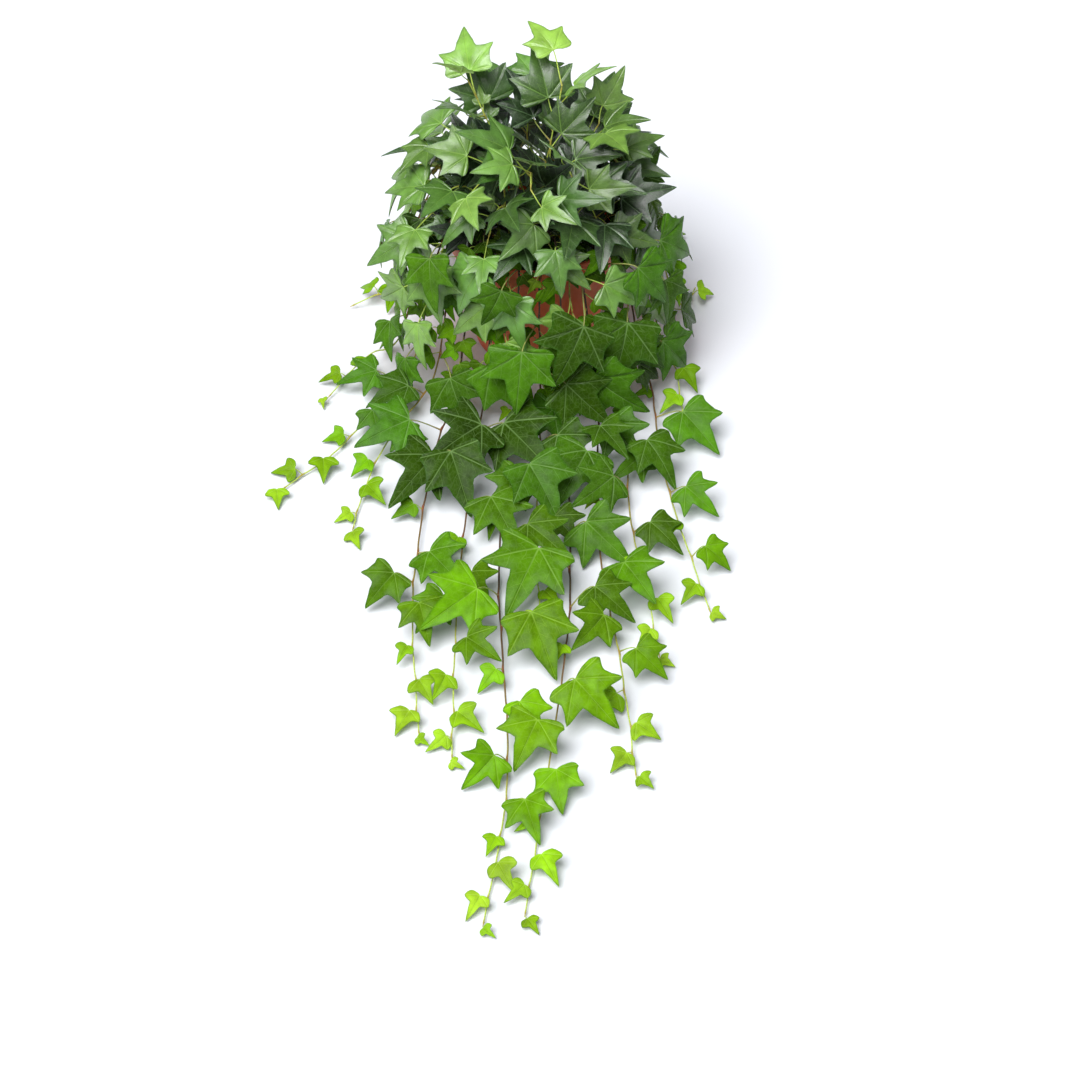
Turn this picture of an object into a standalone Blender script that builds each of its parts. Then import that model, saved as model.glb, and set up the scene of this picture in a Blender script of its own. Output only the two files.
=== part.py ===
"""English ivy in a terracotta-coloured nursery pot that stands on a flat surface.

The pot, its soil and every leafy stem are separate objects, in metres, with +Z up and the origin
at the middle of the pot's foot. The front of the plant is -Y. Long stems hang over the rim and
lie along the surface; short shoots make the crown. A stem, its leaf stalks and its leaves are one
body, and no leaf touches another stem, another leaf, the pot or the surface.
"""

import math
import random
from typing import NamedTuple

import bmesh
import bpy
from mathutils import Matrix, Vector
from mathutils.bvhtree import BVHTree

UP = Vector((0.0, 0.0, 1.0))
FRONT = Vector((0.0, -1.0, 0.0))

# The pot, in metres
RIM_RADIUS = 0.065
POT_HEIGHT = 0.105
FOOT_RADIUS = 0.0445
WALL = 0.0016
FLOOR = 0.0030
BAND_HEIGHT = 0.0150
BAND_STEP = 0.0030
EDGE = 0.0012
TURN_STEPS = 24
DRAIN_HOLES = 6
DRAIN_RADIUS = 0.0045
DRAIN_RING = 0.0280

# The soil fills the pot to a little below its rim
SOIL_TOP = 0.0880
SOIL_GAP = 0.0003

# Stems
STEM_RADIUS = 0.0014
STEM_TIP_RADIUS = 0.0010
ROOT_DEPTH = 0.0110
ROOT_HOLE_GAP = 0.0003
ROOT_HOLE_SIDES = 4
GROUND_LINE = 0.0024
ROUTE_STEP = 0.0020
ROUTE_SLACK = 0.0040

# Leaves: full-grown blades are this long from their stalk to their tip, and a lower power makes them
# grow sooner along the stem
TRAIL_LEAF = 0.050
CROWN_LEAF = 0.042
GROWTH_POWER = 0.90
SMALL_LEAF = 0.024
BLADE_THICKNESS = 0.0008
STALK_WIDTH = 0.0013
STALK_FOOT_WIDTH = 0.0009
LEAST_HEIGHT = 0.0016
CLEARANCE = 0.0009
STEM_CLEARANCE = 0.0008
TRIES = 240

# Seen from the front and above, the pot's wall shows between the leaves round these places: x, height and
# how far round it
SIGHT_RISE = 42.0
SHOWN_PLACES = ((0.034, 0.048, 0.007), (0.004, 0.058, 0.004))

# A blade's right half, for a length of 1: degrees from the midrib, distance from the stalk, True in
# a bay between two lobes
FIVE_LOBES = ((92.0, 0.47, False), (64.0, 0.46, True), (49.0, 0.71, False), (24.0, 0.49, True))
THREE_LOBES = ((60.0, 0.58, False), (28.0, 0.46, True))
LOBE_SPACING = 46.0

# Long stems: name, heading at the rim in degrees from the front, height over the rim, then places on the
# surface that they lie along
TRAILS = (
    ("trail_left_short", -72, 0.022, ((-0.122, -0.038), (-0.152, -0.082))),
    ("trail_left", -57, 0.030, ((-0.112, -0.094), (-0.140, -0.142), (-0.180, -0.184))),
    ("trail_left_mid", -44, 0.020, ((-0.100, -0.125), (-0.122, -0.180), (-0.128, -0.228))),
    (
        "trail_left_front", -32, 0.030,
        ((-0.072, -0.150), (-0.082, -0.240), (-0.084, -0.340), (-0.076, -0.430)),
    ),
    (
        "trail_front_left", -20, 0.018,
        ((-0.044, -0.165), (-0.052, -0.260), (-0.054, -0.360), (-0.054, -0.452)),
    ),
    (
        "trail_front", -8, 0.028,
        ((-0.022, -0.180), (-0.026, -0.290), (-0.020, -0.385), (-0.016, -0.486), (-0.032, -0.596)),
    ),
    ("trail_front_short", 2, 0.023, ((0.002, -0.180), (0.000, -0.260), (0.006, -0.340))),
    (
        "trail_front_right", 12, 0.030,
        ((0.024, -0.175), (0.025, -0.300), (0.018, -0.390), (0.006, -0.486), (-0.006, -0.588)),
    ),
    (
        "trail_right_front", 24, 0.020,
        ((0.044, -0.165), (0.044, -0.260), (0.058, -0.370), (0.066, -0.468)),
    ),
    (
        "trail_right_mid", 36, 0.029,
        ((0.066, -0.145), (0.066, -0.220), (0.076, -0.290), (0.084, -0.356)),
    ),
    (
        "trail_right", 49, 0.020,
        ((0.086, -0.110), (0.092, -0.170), (0.102, -0.240), (0.120, -0.312)),
    ),
    ("trail_right_short", 64, 0.028, ((0.104, -0.062), (0.108, -0.104))),
    ("trail_side_right", 98, 0.020, ((0.116, 0.024), (0.122, 0.050))),
    ("trail_back_right", 128, 0.026, ((0.094, 0.082), (0.104, 0.124))),
    ("trail_back", 167, 0.020, ((0.032, 0.130), (0.042, 0.172))),
    ("trail_back_left", -150, 0.027, ((-0.070, 0.112), (-0.080, 0.156))),
    ("trail_side_left", -107, 0.021, ((-0.118, 0.030), (-0.140, 0.026))),
)
TRAIL_ROOT_RING = 0.046
TRAIL_JOINTS = 0.040
TRAIL_LIFT = 0.010

# Arching shoots stand between the long stems: height over the rim, reach from the axis, fall of the tip.
# They reach farther on the left than on the right by this share
SHOOT_FORMS = ((0.026, 0.090, 0.050), (0.076, 0.058, 0.008), (0.050, 0.072, 0.018))
SHOOT_ROOT_RING = 0.028
SHOOT_JOINTS = 0.027
CROWN_LEAN = 0.12

# Upright shoots in the middle: heading, height over the rim, reach from the axis
CENTRE_SHOOTS = (
    (-98, 0.116, 0.048),
    (140, 0.100, 0.030),
    (96, 0.080, 0.046),
    (-20, 0.060, 0.034),
    (40, 0.070, 0.016),
)
CENTRE_ROOT_RING = 0.012

COLOURS = {
    "pot_terracotta": ((0.75, 0.19, 0.075, 1.0), 0.55),
    "soil_dark": ((0.025, 0.017, 0.011, 1.0), 0.95),
    "ivy_green": ((0.07, 0.20, 0.03, 1.0), 0.42),
}


class Vine(NamedTuple):
    """A leafy stem: its line from root to tip, its leaves' spacing, its bare foot, and how leaves grow.

    Its first leaf is tip_leaf long, and its leaves reach their longest at the length growth from the tip.
    """

    name: str
    route: list
    joints: float
    bare: float
    tip_leaf: float
    longest: float
    growth: float


class Joint(NamedTuple):
    """Where a leaf grows: its place, the stem's direction, its side, its count and way from the tip."""

    place: Vector
    along: Vector
    turn: int
    rank: int
    from_tip: float


class Pose(NamedTuple):
    """How a leaf is held: its joint on the stem, its base, which way it lies, its length and its form."""

    joint: Joint
    base: Vector
    side: Vector
    midrib: Vector
    normal: Vector
    length: float
    form: dict


class Leaf(NamedTuple):
    """A leaf's middle surface: its points, their normals and its faces, the blade's first."""

    points: list
    normals: list
    faces: list
    blade_faces: int
    pose: Pose


# Routes of the stems


def heading_vector(degrees):
    """A level unit vector: 0 points to the front and positive turns towards +X."""
    angle = math.radians(degrees)
    return Vector((math.sin(angle), -math.cos(angle), 0.0))


def smooth_route(points):
    """A curve through the points, with a place every ROUTE_STEP."""
    ends = [points[0] * 2 - points[1], *points, points[-1] * 2 - points[-2]]
    route = []
    for a, b, c, d in zip(ends, ends[1:], ends[2:], ends[3:]):
        count = max(2, round((c - b).length / ROUTE_STEP))
        for i in range(count):
            t = i / count
            bend = (2 * a - 5 * b + 4 * c - d) * t * t + (3 * (b - c) + d - a) * t * t * t
            route.append((2 * b + (c - a) * t + bend) / 2)
    return [*route, points[-1].copy()]


def thinned(route):
    """The fewest of a route's places that stay within ROUTE_SLACK of it."""
    first, last = route[0], route[-1]
    along = (last - first).normalized()
    offsets = [((p - first) - along * (p - first).dot(along)).length for p in route]
    far = max(range(len(route)), key=offsets.__getitem__)
    if offsets[far] <= ROUTE_SLACK or len(route) < 3:
        return [first, last]
    return thinned(route[: far + 1])[:-1] + thinned(route[far:])


def rooted(heading, ring, profile, run=()):
    """A route that stands in the soil, follows a profile of (radius, height), then lies on the surface."""
    out = heading_vector(heading)
    collar = out * ring + UP * (SOIL_TOP + 0.001)
    points = [collar] + [out * radius + UP * height for radius, height in profile]
    for i, (x, y) in enumerate(run):
        lifted = i % 2 == 0 and i < len(run) - 1
        points.append(Vector((x, y, GROUND_LINE + (TRAIL_LIFT if lifted else 0.0))))
    route = smooth_route(points)
    for place in route:
        place.z = max(place.z, GROUND_LINE)
    return [collar - UP * ROOT_DEPTH, *thinned(route)]


def trail(name, heading, crest, run):
    """A long stem that comes up beside the rim, falls outside the pot and lies along the surface."""
    profile = (
        (TRAIL_ROOT_RING + 0.004, POT_HEIGHT + 0.35 * crest),
        (0.0590, POT_HEIGHT + 0.90 * crest),
        (0.0740, POT_HEIGHT + 0.90 * crest),
        (0.0880, POT_HEIGHT - 0.0080),
        (0.0950, 0.0600),
        (0.1020, 0.0250),
        (0.1150, 0.0060),
    )
    route = rooted(heading, TRAIL_ROOT_RING, profile, run)
    return Vine(name, route, TRAIL_JOINTS, 0.026, 0.016, TRAIL_LEAF, 0.300)


def arching_shoot(name, heading, height, reach, fall):
    """A shoot that rises from the soil and arches outwards over the crown."""
    profile = (
        (SHOOT_ROOT_RING + 0.003, POT_HEIGHT + 0.30 * height),
        (0.62 * reach, POT_HEIGHT + 0.86 * height),
        (0.82 * reach, POT_HEIGHT + height),
        (reach, POT_HEIGHT + height - fall),
    )
    route = rooted(heading, SHOOT_ROOT_RING, profile)
    return Vine(name, route, SHOOT_JOINTS, 0.034, 0.032, CROWN_LEAF, 0.050)


def centre_shoot(name, heading, height, reach):
    """A shoot that stands almost upright in the middle of the crown."""
    profile = (
        (CENTRE_ROOT_RING + 0.002, POT_HEIGHT + 0.25 * height),
        (0.60 * reach, POT_HEIGHT + 0.65 * height),
        (reach, POT_HEIGHT + height),
    )
    route = rooted(heading, CENTRE_ROOT_RING, profile)
    return Vine(name, route, SHOOT_JOINTS, 0.034, 0.034, CROWN_LEAF, 0.050)


def all_vines():
    vines = [trail(*row) for row in TRAILS]
    headings = sorted(row[1] for row in TRAILS)
    for i, (left, right) in enumerate(zip(headings, headings[1:] + [headings[0] + 360])):
        heading = (left + right) / 2
        height, reach, fall = SHOOT_FORMS[i % len(SHOOT_FORMS)]
        reach *= 1.0 - CROWN_LEAN * math.sin(math.radians(heading))
        vines.append(arching_shoot(f"shoot_{i + 1:02d}", heading, height, reach, fall))
    for i, form in enumerate(CENTRE_SHOOTS):
        vines.append(centre_shoot(f"shoot_centre_{i + 1}", *form))
    return vines


# Leaves


def blade_outline(lobes, width, bays):
    """The blade's corners in the flat, from the right side of the stalk round to its left side."""
    right = []
    for degrees, reach, in_bay in lobes:
        angle = math.radians(degrees)
        reach *= bays if in_bay else 1.0
        right.append((width * reach * math.sin(angle), reach * math.cos(angle)))
    return right + [(0.0, 1.0)] + [(-x, y) for x, y in reversed(right)]


def blade_height(x, y, fold, droop, ruffle):
    """How far a blade of length 1 rises from the flat: sides folded up, tip down, lobes down and bays up."""
    reach = math.hypot(x, y)
    angle = math.degrees(math.atan2(abs(x), y))
    wave = ruffle * math.cos(math.radians(360.0 * angle / LOBE_SPACING)) * reach * reach
    return fold * abs(x) * (1.0 - 0.4 * reach) - droop * reach * reach - wave


def leaf_at(pose):
    """The leaf's middle surface: a fan from its base to each lobe and bay, and a ribbon for its stalk."""
    joint, base, side, midrib, normal, length, form = pose
    place = joint.place
    half = STALK_WIDTH / 2
    points = [base + side * half]
    lobes = THREE_LOBES if form["small"] else FIVE_LOBES
    for x, y in blade_outline(lobes, form["width"], form["bays"]):
        z = blade_height(x, y, form["fold"], form["droop"], form["ruffle"])
        points.append(base + (side * x + midrib * y + normal * z) * length)
    points.append(base - side * half)
    left = len(points) - 1
    tip = left // 2
    faces = [(0, i, i + 1) for i in range(1, tip)] + [(0, tip, left)]
    faces += [(left, i, i + 1) for i in range(tip, left - 1)]
    normals = blade_normals(points, faces, normal)
    blade_faces = len(faces)
    foot = side * (STALK_FOOT_WIDTH / 2)
    points += [place + foot, place - foot]
    normals += [normal, normal]
    faces.append((left + 1, 0, left, left + 2))
    return Leaf(points, normals, faces, blade_faces, pose)


def blade_normals(points, faces, normal):
    """A normal for each corner of the blade, with the flat blade's own at the two corners of its base."""
    normals = [Vector((0.0, 0.0, 0.0)) for _ in points]
    for a, b, c in faces:
        turned = (points[b] - points[a]).cross(points[c] - points[a]).normalized()
        for i in (a, b, c):
            normals[i] += turned
    turn = 1 if normals[1].dot(normal) > 0 else -1
    middle = [n.normalized() * turn for n in normals[1:-1]]
    return [normal, *middle, normal]


def thickened(leaf, faces, half):
    """Some of the leaf's faces as a closed solid: the surface on both sides and a rim between them."""
    count = len(leaf.points)
    points = [p + n * half for p, n in zip(leaf.points, leaf.normals)]
    points += [p - n * half for p, n in zip(leaf.points, leaf.normals)]
    rim = {}
    for face in faces:
        for pair in zip(face, face[1:] + face[:1]):
            rim[frozenset(pair)] = None if frozenset(pair) in rim else pair
    solid = list(faces) + [tuple(i + count for i in reversed(face)) for face in faces]
    solid += [(b, a, a + count, b + count) for a, b in filter(None, rim.values())]
    return points, solid


def outward(place):
    """The way out of the plant's own mass: up from the surface, or out from the pot and the crown."""
    level = Vector((place.x, place.y, 0.0))
    radius = level.length
    level.normalize()
    if place.z < 0.03 and radius > 0.10:
        return (UP + level * 0.2).normalized()
    if place.z < POT_HEIGHT:
        return (level + UP * 0.3).normalized()
    return (place - UP * (POT_HEIGHT - 0.030)).normalized()


def leaf_try(joint, length, small, share, draw):
    """One way to hold a leaf at a joint. share widens the draw from the natural pose as tries fail."""
    place, along, turn = joint.place, joint.along, joint.turn
    out = outward(place)
    side = along.cross(out).normalized() * turn
    radius = Vector((place.x, place.y)).length
    lies = place.z < 0.03 and radius > 0.10
    falls = not lies and place.z < POT_HEIGHT + 0.022 and radius > 0.070
    loose = 0.45 + 0.55 * share
    reach = length * draw.uniform(0.40, 0.70 + 0.50 * share) * (0.55 if small else 1.0)
    lift = draw.uniform(*((0.60, 1.20) if lies else (0.50, 1.60) if falls else (0.30, 0.95)))
    stalk = side * 0.75 + out * lift + along * draw.uniform(0.1, 0.6)
    if joint.rank == 0:
        stalk = along + out * 0.35 + side * 0.25
    stalk += Vector([draw.uniform(-1, 1) for _ in range(3)]) * 0.55 * loose
    base = place + stalk.normalized() * max(reach, 0.006)
    swing = draw.uniform(0.20, 0.90) + draw.uniform(-0.9, 0.9) * share
    if lies:
        midrib = along * 0.75 + side * swing - UP * draw.uniform(0.10, 0.60)
    elif falls:
        midrib = side * swing + out * 0.30 - UP * draw.uniform(0.60, 1.10)
    else:
        midrib = along * 0.30 + side * swing + out * 0.55 - UP * draw.uniform(0.10, 0.60)
    midrib.normalize()
    face = out + UP * 0.35 + FRONT * (0.80 if lies else 0.45)
    face += Vector([draw.uniform(-1, 1) for _ in range(3)]) * 0.80 * loose
    across = midrib.cross(face).normalized()
    form = {
        "small": small,
        "width": draw.uniform(0.92, 1.08),
        "bays": draw.uniform(0.90, 1.10),
        "fold": draw.uniform(0.04, 0.36),
        "droop": draw.uniform(0.04, 0.28),
        "ruffle": draw.uniform(0.015, 0.05),
    }
    return leaf_at(Pose(joint, base, across, midrib, across.cross(midrib), length, form))


# Keeping everything apart


def tube_tree(route, radius, sides=6):
    """A search tree for a tube of this radius along the route."""
    rings, faces = [], []
    for i, place in enumerate(route):
        along = (route[min(i + 1, len(route) - 1)] - route[max(i - 1, 0)]).normalized()
        across = along.orthogonal().normalized()
        other = along.cross(across)
        for k in range(sides):
            angle = 2 * math.pi * k / sides
            rings.append(place + (across * math.cos(angle) + other * math.sin(angle)) * radius)
    for i in range(len(route) - 1):
        for k in range(sides):
            n = (k + 1) % sides
            faces.append((i * sides + k, i * sides + n, (i + 1) * sides + n, (i + 1) * sides + k))
    return BVHTree.FromPolygons(rings, faces)


def pot_tree(sides=24):
    """A search tree for the pot's outside, a little larger, and for its inside above the soil."""
    profile = (
        (FOOT_RADIUS + CLEARANCE, 0.0),
        (RIM_RADIUS - BAND_STEP + CLEARANCE, POT_HEIGHT - BAND_HEIGHT),
        (RIM_RADIUS + CLEARANCE, POT_HEIGHT - BAND_HEIGHT),
        (RIM_RADIUS + CLEARANCE, POT_HEIGHT + CLEARANCE),
        (RIM_RADIUS - 3 * WALL - CLEARANCE, POT_HEIGHT + CLEARANCE),
        (RIM_RADIUS - 4 * WALL - CLEARANCE, SOIL_TOP + CLEARANCE),
        (0.0, SOIL_TOP + CLEARANCE),
    )
    points = [heading_vector(360 * k / sides) * r + UP * z for r, z in profile for k in range(sides)]
    faces = []
    for i in range(len(profile) - 1):
        for k in range(sides):
            n = (k + 1) % sides
            faces.append((i * sides + k, i * sides + n, (i + 1) * sides + n, (i + 1) * sides + k))
    return BVHTree.FromPolygons(points, faces)


def sight_lines():
    """Where the pot shows: places on its wall, and the way from them to the eye."""
    rise = math.radians(SIGHT_RISE)
    places = []
    for x, height, spread in SHOWN_PLACES:
        radius = FOOT_RADIUS + (RIM_RADIUS - FOOT_RADIUS) * height / POT_HEIGHT
        for turn in range(0, 360, 60):
            side = x + spread * math.cos(math.radians(turn))
            up = height + spread * math.sin(math.radians(turn))
            places.append(Vector((side, -math.sqrt(radius * radius - side * side) - WALL, up)))
    return places, FRONT * math.cos(rise) + UP * math.sin(rise)


def well_held(leaf):
    """True where the stalk leaves the stem at a fair angle and isn't seen on its edge."""
    along = leaf.pose.joint.along
    foot, head = leaf.faces[-1][:2]
    run = (leaf.points[head] - leaf.points[foot]).normalized()
    across = (leaf.points[-2] - leaf.points[-1]).normalized()
    return abs(run.dot(across)) < 0.65 and -0.60 < run.dot(along) < 0.88


def crosses_itself(leaf):
    """True where two faces of the leaf's solid that share no corner meet."""
    points, faces = thickened(leaf, leaf.faces, BLADE_THICKNESS * 0.6)
    tree = BVHTree.FromPolygons(points, faces)
    return any(not set(faces[a]) & set(faces[b]) for a, b in tree.overlap(tree))


class Clear:
    """Everything placed so far, to test a new leaf against."""

    def __init__(self, vines):
        self.pot = pot_tree()
        self.stems = {v.name: tube_tree(v.route, STEM_RADIUS + STEM_CLEARANCE) for v in vines}
        self.shown, self.to_eye = sight_lines()
        self.leaves = []

    def hides_pot(self, tree):
        """True for a leaf that covers a place where the pot shows."""
        return any(tree.ray_cast(place, self.to_eye)[0] for place in self.shown)

    def admits(self, own_stem, leaf):
        """True, and the leaf is remembered, where it can stay as it is held."""
        if min(p.z for p in leaf.points) < LEAST_HEIGHT:
            return False
        if not well_held(leaf):
            return False
        centre = sum(leaf.points, Vector((0.0, 0.0, 0.0))) / len(leaf.points)
        radius = max((p - centre).length for p in leaf.points)
        whole = BVHTree.FromPolygons(*thickened(leaf, leaf.faces, CLEARANCE))
        if whole.overlap(self.pot) or self.hides_pot(whole):
            return False
        for other, at, size in self.leaves:
            if (at - centre).length < size + radius + 2 * CLEARANCE and whole.overlap(other):
                return False
        blade = BVHTree.FromPolygons(*thickened(leaf, leaf.faces[: leaf.blade_faces], CLEARANCE))
        for name, stem in self.stems.items():
            if (blade if name == own_stem else whole).overlap(stem):
                return False
        if crosses_itself(leaf):
            return False
        self.leaves.append((whole, centre, radius))
        return True


def joints_of(vine):
    """The joints of a stem, from its tip back to its bare foot: closer together near the tip."""
    route = vine.route[::-1]
    total = sum((b - a).length for a, b in zip(route, route[1:]))
    draw = random.Random(vine.name)
    wanted, walked = 0.001, 0.0
    joints = []
    for a, b in zip(route, route[1:]):
        step = (b - a).length
        while wanted <= walked + step and wanted < total - vine.bare:
            place = a.lerp(b, (wanted - walked) / step)
            rank = len(joints)
            joints.append(Joint(place, (a - b).normalized(), 1 if rank % 2 else -1, rank, wanted))
            wanted += vine.joints * draw.uniform(0.85, 1.15) * min(1.0, 0.5 + wanted / 0.2)
        walked += step
    return joints


def leaves_of_all(vines, clear):
    """Every vine's leaves by its name. Outer leaves of all vines take their places before inner ones."""
    found = {vine.name: [] for vine in vines}
    joints = [(joint.rank, vine.name, joint, vine) for vine in vines for joint in joints_of(vine)]
    for rank, name, joint, vine in sorted(joints, key=lambda row: row[:2]):
        draw = random.Random(f"{name} leaf {rank}")
        grown = min(1.0, joint.from_tip / vine.growth) ** GROWTH_POWER
        length = (vine.tip_leaf + (vine.longest - vine.tip_leaf) * grown) * draw.uniform(0.88, 1.10)
        if vine.growth > 0.1 and rank % 4 == 3:
            length = draw.uniform(0.014, 0.022)
        for k in range(TRIES):
            size = length * (1.0 if k < 0.4 * TRIES else 0.82 if k < 0.7 * TRIES else 0.66)
            leaf = leaf_try(joint, size, length < SMALL_LEAF, k / TRIES, draw)
            if clear.admits(name, leaf):
                found[name].append(leaf)
                break
    return found


# Making the objects


def clear_scene():
    for obj in list(bpy.data.objects):
        bpy.data.objects.remove(obj)


def material(name):
    found = bpy.data.materials.get(name)
    if found:
        return found
    colour, roughness = COLOURS[name]
    made = bpy.data.materials.new(name)
    made.use_nodes = True
    shader = made.node_tree.nodes["Principled BSDF"]
    shader.inputs["Base Color"].default_value = colour
    shader.inputs["Roughness"].default_value = roughness
    shader.inputs["Metallic"].default_value = 0.0
    return made


def new_object(name, data, collection, material_name=None):
    obj = bpy.data.objects.new(name, data)
    collection.objects.link(obj)
    if material_name:
        data.materials.append(material(material_name))
    return obj


def turned(name, profile, collection, material_name):
    """A solid of revolution from a profile of (radius, height) that starts inside at the axis."""
    mesh = bpy.data.meshes.new(name)
    mesh.from_pydata([(r, 0.0, z) for r, z in profile], [(i, i + 1) for i in range(len(profile) - 1)], [])
    obj = new_object(name, mesh, collection, material_name)
    screw = obj.modifiers.new("turn", "SCREW")
    screw.steps = screw.render_steps = TURN_STEPS
    screw.use_merge_vertices = True
    screw.merge_threshold = 0.0001
    screw.use_smooth_shade = True
    return obj


def apply_modifiers(obj):
    """The object's evaluated mesh becomes its mesh."""
    graph = bpy.context.evaluated_depsgraph_get()
    mesh = bpy.data.meshes.new_from_object(obj.evaluated_get(graph))
    obj.modifiers.clear()
    obj.data = mesh


def cut(obj, cutter):
    cutter.hide_render = True
    cutter.display_type = "WIRE"
    boolean = obj.modifiers.new("holes", "BOOLEAN")
    boolean.operation = "DIFFERENCE"
    boolean.object = cutter


def upright_cutter(name, places, radius, low, high, sides, collection):
    """One mesh of upright prisms, for a row of plain holes."""
    mesh = bpy.data.meshes.new(name)
    shape = bmesh.new()
    for place in places:
        middle = Matrix.Translation((place.x, place.y, (low + high) / 2))
        bmesh.ops.create_cone(
            shape, cap_ends=True, segments=sides, radius1=radius, radius2=radius,
            depth=high - low, matrix=middle,
        )
    shape.to_mesh(mesh)
    shape.free()
    return new_object(name, mesh, collection)


def make_pot(parts, cutters):
    profile = (
        (0.0, FLOOR),
        (FOOT_RADIUS - WALL, FLOOR),
        (RIM_RADIUS - BAND_STEP - WALL, POT_HEIGHT - BAND_HEIGHT),
        (RIM_RADIUS - 1.6 * WALL, POT_HEIGHT),
        (RIM_RADIUS - EDGE / 2, POT_HEIGHT),
        (RIM_RADIUS, POT_HEIGHT - EDGE),
        (RIM_RADIUS - EDGE / 2, POT_HEIGHT - BAND_HEIGHT),
        (RIM_RADIUS - BAND_STEP, POT_HEIGHT - BAND_HEIGHT),
        (FOOT_RADIUS, EDGE),
        (FOOT_RADIUS - EDGE, 0.0),
        (0.0, 0.0),
    )
    pot = turned("pot", profile, parts, "pot_terracotta")
    ring = [heading_vector(360 * i / DRAIN_HOLES) * DRAIN_RING for i in range(DRAIN_HOLES)]
    cut(pot, upright_cutter("drain_holes", ring, DRAIN_RADIUS, -0.002, FLOOR + 0.002, 6, cutters))
    return pot


def make_soil(vines, parts, cutters):
    """Soil that fills the pot, with a plain hole for each stem."""
    def wall_at(height):
        slope = (RIM_RADIUS - BAND_STEP - FOOT_RADIUS) / (POT_HEIGHT - BAND_HEIGHT - FLOOR)
        return FOOT_RADIUS - WALL + slope * (height - FLOOR) - SOIL_GAP

    low = FLOOR + SOIL_GAP
    profile = ((0.0, SOIL_TOP), (wall_at(SOIL_TOP), SOIL_TOP), (wall_at(low), low), (0.0, low))
    soil = turned("soil", profile, parts, "soil_dark")
    roots = [vine.route[0] for vine in vines]
    radius = (STEM_RADIUS + ROOT_HOLE_GAP) / math.cos(math.pi / ROOT_HOLE_SIDES)
    bottom, top = roots[0].z - SOIL_GAP, SOIL_TOP + 0.003
    cut(soil, upright_cutter("root_holes", roots, radius, bottom, top, ROOT_HOLE_SIDES, cutters))
    return soil


def make_stem(vine, collection):
    """The bare stem as a mesh: a four-sided tube that thins towards its tip."""
    curve = bpy.data.curves.new(vine.name, "CURVE")
    curve.dimensions = "3D"
    curve.bevel_depth = 1.0
    curve.bevel_resolution = 0
    curve.use_fill_caps = True
    places = vine.route
    spline = curve.splines.new("POLY")
    spline.points.add(len(places) - 1)
    total = sum((b - a).length for a, b in zip(places, places[1:]))
    walked = 0.0
    for i, (point, place) in enumerate(zip(spline.points, places)):
        walked += (place - places[i - 1]).length if i else 0.0
        point.co = (*place, 1.0)
        point.radius = STEM_RADIUS + (STEM_TIP_RADIUS - STEM_RADIUS) * walked / total
    guide = bpy.data.objects.new(vine.name + "_line", curve)
    collection.objects.link(guide)
    graph = bpy.context.evaluated_depsgraph_get()
    mesh = bpy.data.meshes.new_from_object(guide.evaluated_get(graph))
    bpy.data.objects.remove(guide)
    shape = bmesh.new()
    shape.from_mesh(mesh)
    bmesh.ops.remove_doubles(shape, verts=shape.verts, dist=0.00001)
    bmesh.ops.recalc_face_normals(shape, faces=shape.faces)
    shape.to_mesh(mesh)
    shape.free()
    return new_object(vine.name, mesh, collection, "ivy_green")


def make_leaves(vine, leaves, collection):
    """The vine's leaves as one mesh of closed blades, each with its stalk."""
    shape = bmesh.new()
    for leaf in leaves:
        points, faces = thickened(leaf, leaf.faces, BLADE_THICKNESS / 2)
        corners = [shape.verts.new(p) for p in points]
        for face in faces:
            shape.faces.new([corners[i] for i in face])
    bmesh.ops.recalc_face_normals(shape, faces=shape.faces)
    mesh = bpy.data.meshes.new(vine.name + "_leaves")
    shape.to_mesh(mesh)
    shape.free()
    return new_object(vine.name + "_leaves", mesh, collection)


def make_vine(vine, leaves, parts, repeats):
    """One leafy stem: a Boolean union joins its leaves to it."""
    stem = make_stem(vine, parts)
    blades = make_leaves(vine, leaves, repeats)
    union = stem.modifiers.new("leaves", "BOOLEAN")
    union.operation = "UNION"
    union.operand_type = "COLLECTION"
    union.collection = repeats
    apply_modifiers(stem)
    bpy.data.objects.remove(blades)
    return stem


def main():
    clear_scene()
    parts = bpy.data.collections.new("potted_ivy")
    cutters = bpy.data.collections.new("cutters")
    repeats = bpy.data.collections.new("leaves_to_join")
    for collection in (parts, cutters, repeats):
        bpy.context.scene.collection.children.link(collection)
    vines = all_vines()
    make_pot(parts, cutters)
    make_soil(vines, parts, cutters)
    leaves = leaves_of_all(vines, Clear(vines))
    for vine in vines:
        make_vine(vine, leaves[vine.name], parts, repeats)
    bpy.data.collections.remove(repeats)


main()
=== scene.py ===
import math
import random
from typing import NamedTuple

import bpy
import numpy as np
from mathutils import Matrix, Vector, noise
from mathutils.bvhtree import BVHTree


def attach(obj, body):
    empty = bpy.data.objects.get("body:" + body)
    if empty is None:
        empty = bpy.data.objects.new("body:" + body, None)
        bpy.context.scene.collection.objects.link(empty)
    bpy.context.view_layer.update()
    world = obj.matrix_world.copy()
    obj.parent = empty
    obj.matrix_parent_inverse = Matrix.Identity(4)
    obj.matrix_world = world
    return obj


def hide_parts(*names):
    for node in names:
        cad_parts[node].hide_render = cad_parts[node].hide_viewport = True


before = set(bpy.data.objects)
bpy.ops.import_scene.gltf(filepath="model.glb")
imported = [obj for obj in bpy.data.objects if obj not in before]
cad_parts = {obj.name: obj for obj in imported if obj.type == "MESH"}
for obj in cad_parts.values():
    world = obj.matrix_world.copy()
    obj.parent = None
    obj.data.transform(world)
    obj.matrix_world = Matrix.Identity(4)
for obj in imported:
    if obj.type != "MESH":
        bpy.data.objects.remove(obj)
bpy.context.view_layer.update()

UP = Vector((0.0, 0.0, 1.0))
FRONT = Vector((0.0, -1.0, 0.0))

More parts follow.
